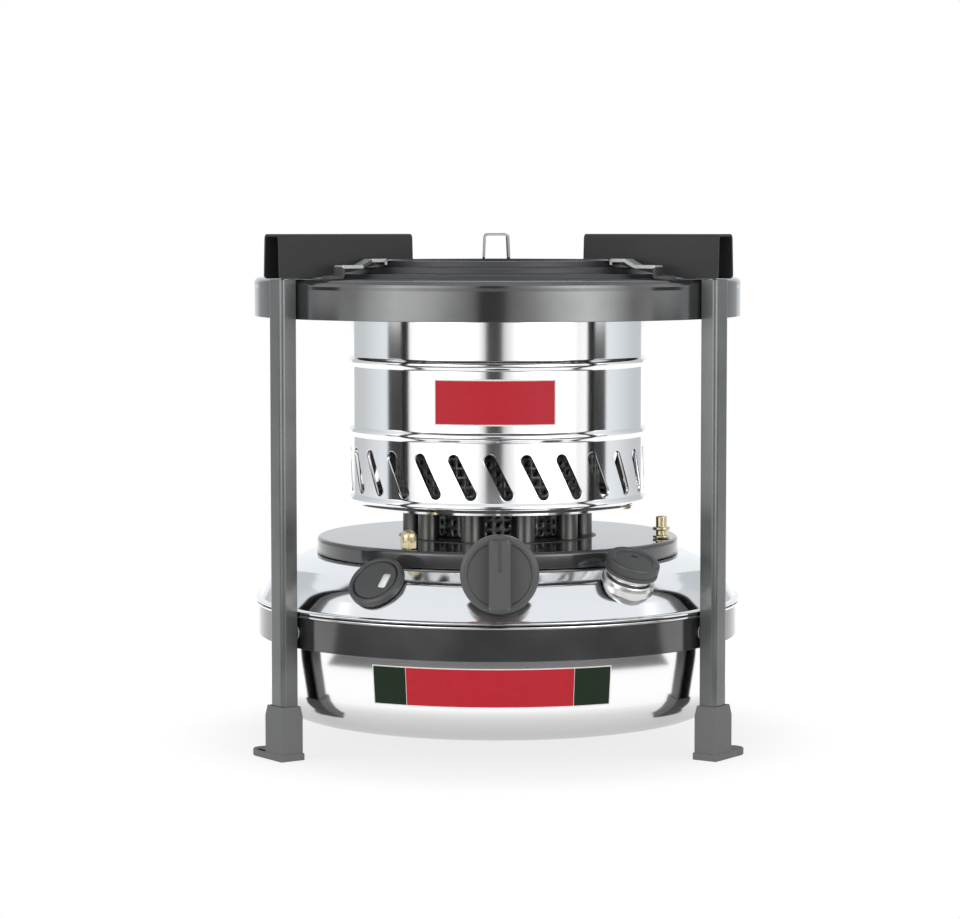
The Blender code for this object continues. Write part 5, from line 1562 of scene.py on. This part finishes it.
def floor_finish(stage):
    """White floor that takes shadows near the stove; its mirrors see it with painted shade next to
    the stove and a painted glow brighter than white further out.
    """
    made, tree, shader = surface("floor_white", {"Roughness": 0.6, "Specular IOR Level": 0.1})
    specks = grain(tree, (1, 1, 1), 300.0, 2.0)
    tree.links.new(tint(tree, specks, (0.86, 0.86, 0.86), (0.88, 0.88, 0.88)), shader.inputs[0])
    length = add_node(tree, "ShaderNodeVectorMath", {0: place_of(tree)}, operation="LENGTH")
    settings = {"Value": length.outputs["Value"], "From Min": stage.floor_near}
    fading = {"From Max": stage.floor_far, "To Min": stage.floor_least, "To Max": 1.0}
    fading.update(settings)
    fade = add_node(tree, "ShaderNodeMapRange", fading, interpolation_type="SMOOTHSTEP")
    share = add_node(tree, "ShaderNodeMath", operation="MULTIPLY")
    tree.links.new(fade.outputs["Result"], share.inputs[0])
    tree.links.new(seen_share(tree), share.inputs[1])
    # What the mirrors see of the floor: painted shade next to the stove and a painted glow further
    # out.
    settings["From Max"] = stage.mirror_far
    settings.update({"To Min": stage.mirror_near_shade, "To Max": stage.mirror_far_glow})
    mirror = add_node(tree, "ShaderNodeMapRange", settings)
    rays = add_node(tree, "ShaderNodeLightPath").outputs
    settings = {0: rays["Is Camera Ray"], 2: mirror.outputs["Result"], 3: 1.0}
    strength = add_node(tree, "ShaderNodeMix", settings)
    glow = add_node(tree, "ShaderNodeEmission", {"Color": (1, 1, 1, 1)})
    tree.links.new(strength.outputs[0], glow.inputs["Strength"])
    mix = add_node(tree, "ShaderNodeMixShader", {"Fac": share.outputs[0]})
    tree.links.new(shader.outputs[0], mix.inputs[1])
    tree.links.new(glow.outputs[0], mix.inputs[2])
    tree.links.new(mix.outputs[0], tree.nodes["Material Output"].inputs["Surface"])
    return made


def glow_finish(name, value):
    """Evenly lit studio card with faint specks."""
    made, tree, shader = surface(name, {"Base Color": (0, 0, 0, 1), "Specular IOR Level": 0.0})
    specks = grain(tree, (1, 1, 1), 200.0, 2.0)
    shades = tint(tree, specks, (value, value, value), shade((value, value, value), 1.1))
    tree.links.new(shades, shader.inputs["Emission Color"])
    shader.inputs["Emission Strength"].default_value = 1.0
    return made


def panel_finish(peak):
    """Glow of the soft panels by azimuth: a bright middle to each, and a dark gap in front."""
    made, tree, shader = surface("panel_glow", {"Base Color": (0, 0, 0, 1)})
    axes = add_node(tree, "ShaderNodeSeparateXYZ", {"Vector": place_of(tree, (1, -1, 1))})
    turn = add_node(tree, "ShaderNodeMath", operation="ARCTAN2")
    tree.links.new(axes.outputs["X"], turn.inputs[0])
    tree.links.new(axes.outputs["Y"], turn.inputs[1])
    reach = math.radians(PANEL_REACH)
    settings = {"Value": turn.outputs[0], "From Min": -reach, "From Max": reach}
    share = add_node(tree, "ShaderNodeMapRange", settings)
    ramp = add_node(tree, "ShaderNodeValToRGB", {"Fac": share.outputs["Result"]})
    elements = ramp.color_ramp.elements
    while len(elements) < len(PANEL_LEVELS):
        elements.new(0.5)
    for element, (azimuth, level) in zip(elements, PANEL_LEVELS):
        element.position = azimuth / (2 * PANEL_REACH) + 0.5
        cast = COOL_PANEL if abs(azimuth) > 90 else (1, 1, 1)
        element.color = (*shade(cast, level / peak), 1)
    tree.links.new(ramp.outputs["Color"], shader.inputs["Emission Color"])
    shader.inputs["Emission Strength"].default_value = peak
    return made


def world_light(level):
    """White room for what is seen, slightly cool in mirrors and lower in what it lights."""
    world = bpy.data.worlds.new("studio")
    bpy.context.scene.world = world
    world.use_nodes = True
    tree = world.node_tree
    ground = tree.nodes["Background"]
    settings = {"Value": seen_share(tree), "To Min": level, "To Max": 1.0}
    strength = add_node(tree, "ShaderNodeMapRange", settings)
    tree.links.new(strength.outputs["Result"], ground.inputs["Strength"])
    rays = add_node(tree, "ShaderNodeLightPath")
    ramp = add_node(tree, "ShaderNodeValToRGB", {"Fac": rays.outputs["Is Camera Ray"]})
    ramp.color_ramp.elements[0].color = (*COOL_ROOM, 1)
    ramp.color_ramp.elements[1].color = (1, 1, 1, 1)
    tree.links.new(ramp.outputs["Color"], ground.inputs["Color"])


def softbox(name, azimuth, width, settings):
    """Upright soft lamp that stands on the floor and faces the stove."""
    data = bpy.data.lights.new(name, "AREA")
    data.shape = "RECTANGLE"
    data.size = width
    data.size_y = settings.box_height
    data.energy = settings.box_radiance * math.pi * width * settings.box_height
    lamp = bpy.data.objects.new(name, data)
    bpy.context.scene.collection.objects.link(lamp)
    middle = settings.box_height / 2 - BOX_SINK
    face = spot(azimuth, settings.box_distance, middle, -math.pi / 2)
    lamp.matrix_world = face @ Matrix.Rotation(math.pi, 4, "X")
    lamp.visible_camera = False
    lamp.visible_glossy = False
    return lamp


def mirrored_only(made):
    """Leave a stage piece to the mirrors, so that nothing else sees it or is lit by it."""
    made.visible_camera = False
    made.visible_diffuse = False
    made.visible_shadow = False
    made.visible_transmission = False
    return made


def curved_card(name, outline, degrees, look):
    """Card that is curved round the stove and centred on the front."""
    made = new_object(name, lathe(outline, 96, sweep=math.radians(degrees)))
    made.data.materials.append(look)
    return mirrored_only(made)


class STOVE_OT_stage(StoveStep):
    """White floor, soft lamps, dark cards and the camera"""

    bl_idname = "stove.stage"
    bl_label = "Studio"

    def execute(self, context):
        settings = context.scene.stove_stage
        stage_sheet("floor", FLOOR_WIDTH, FLOOR_WIDTH, Matrix(), floor_finish(settings))
        world_light(settings.fill_level)
        distance = settings.box_distance
        for name, azimuth, half in SOFTBOXES:
            width = 2 * distance * math.tan(math.radians(half))
            softbox(name, math.radians(azimuth), width, settings)
        glow = panel_finish(settings.panel_radiance)
        height = settings.panel_height
        curved_card("soft_panels", [(distance, 0), (distance, height)], 2 * PANEL_REACH, glow)
        grey = glow_finish("card_grey", CARD_GREY)
        near, far, level, sweep = FLOOR_CARD
        curved_card("front_floor_card", [(near, level), (far, level)], sweep, grey)
        dark = glow_finish("card_dark", CARD_DARK)
        for name, azimuth, half in DARK_CARDS:
            width = 2 * settings.card_distance * math.tan(math.radians(half))
            middle = settings.card_height / 2
            place = spot(math.radians(azimuth), settings.card_distance, middle, math.pi / 2)
            mirrored_only(stage_sheet(name, width, settings.card_height, place, dark))
        data = bpy.data.cameras.new("photo_camera")
        data.lens = settings.camera_lens
        data.sensor_width = 36
        data.shift_x = -settings.axis_offset / IMAGE_WIDTH
        camera = bpy.data.objects.new("photo_camera", data)
        context.scene.collection.objects.link(camera)
        turn = -settings.camera_turn
        camera.location = spot(turn, settings.camera_distance, settings.camera_height).translation
        camera.rotation_euler = (math.pi / 2 - settings.camera_pitch, 0, turn)
        context.scene.camera = camera
        context.scene.view_settings.view_transform = "Standard"
        return {"FINISHED"}


STEPS = (
    STOVE_OT_legs, STOVE_OT_feet, STOVE_OT_rings, STOVE_OT_rivets, STOVE_OT_supports,
    STOVE_OT_shield, STOVE_OT_lugs, STOVE_OT_tank, STOVE_OT_deck, STOVE_OT_studs, STOVE_OT_filler,
    STOVE_OT_gauge, STOVE_OT_knob, STOVE_OT_casing, STOVE_OT_spreaders, STOVE_OT_gallery,
    STOVE_OT_wicks, STOVE_OT_labels, STOVE_OT_works, STOVE_OT_stage,
)
GROUPS = {
    "stove_frame": StoveFrameSizes,
    "stove_tank": StoveTankSizes,
    "stove_burner": StoveBurnerSizes,
    "stove_colours": StoveColours,
    "stove_stage": StoveStageSettings,
}


class STOVE_PT_panel(bpy.types.Panel):
    """Sidebar list of the stove's pieces"""

    bl_label = "Kerosene Wick Stove"
    bl_space_type = "VIEW_3D"
    bl_region_type = "UI"
    bl_category = "Stove"

    def draw(self, context):
        for step in STEPS:
            self.layout.operator(step.bl_idname)


def register():
    """Make the sizes, the operators and the panel known."""
    for name, group in GROUPS.items():
        bpy.utils.register_class(group)
        setattr(bpy.types.Scene, name, PointerProperty(type=group))
    for made in (*STEPS, STOVE_PT_panel):
        bpy.utils.register_class(made)


def unregister():
    """Take everything out again."""
    for made in (STOVE_PT_panel, *reversed(STEPS)):
        bpy.utils.unregister_class(made)
    for name, group in GROUPS.items():
        delattr(bpy.types.Scene, name)
        bpy.utils.unregister_class(group)


def main():
    """Build every piece and the stage."""
    register()
    for step in STEPS:
        section, name = step.bl_idname.split(".")
        getattr(getattr(bpy.ops, section), name)()


if __name__ == "__main__":
    main()
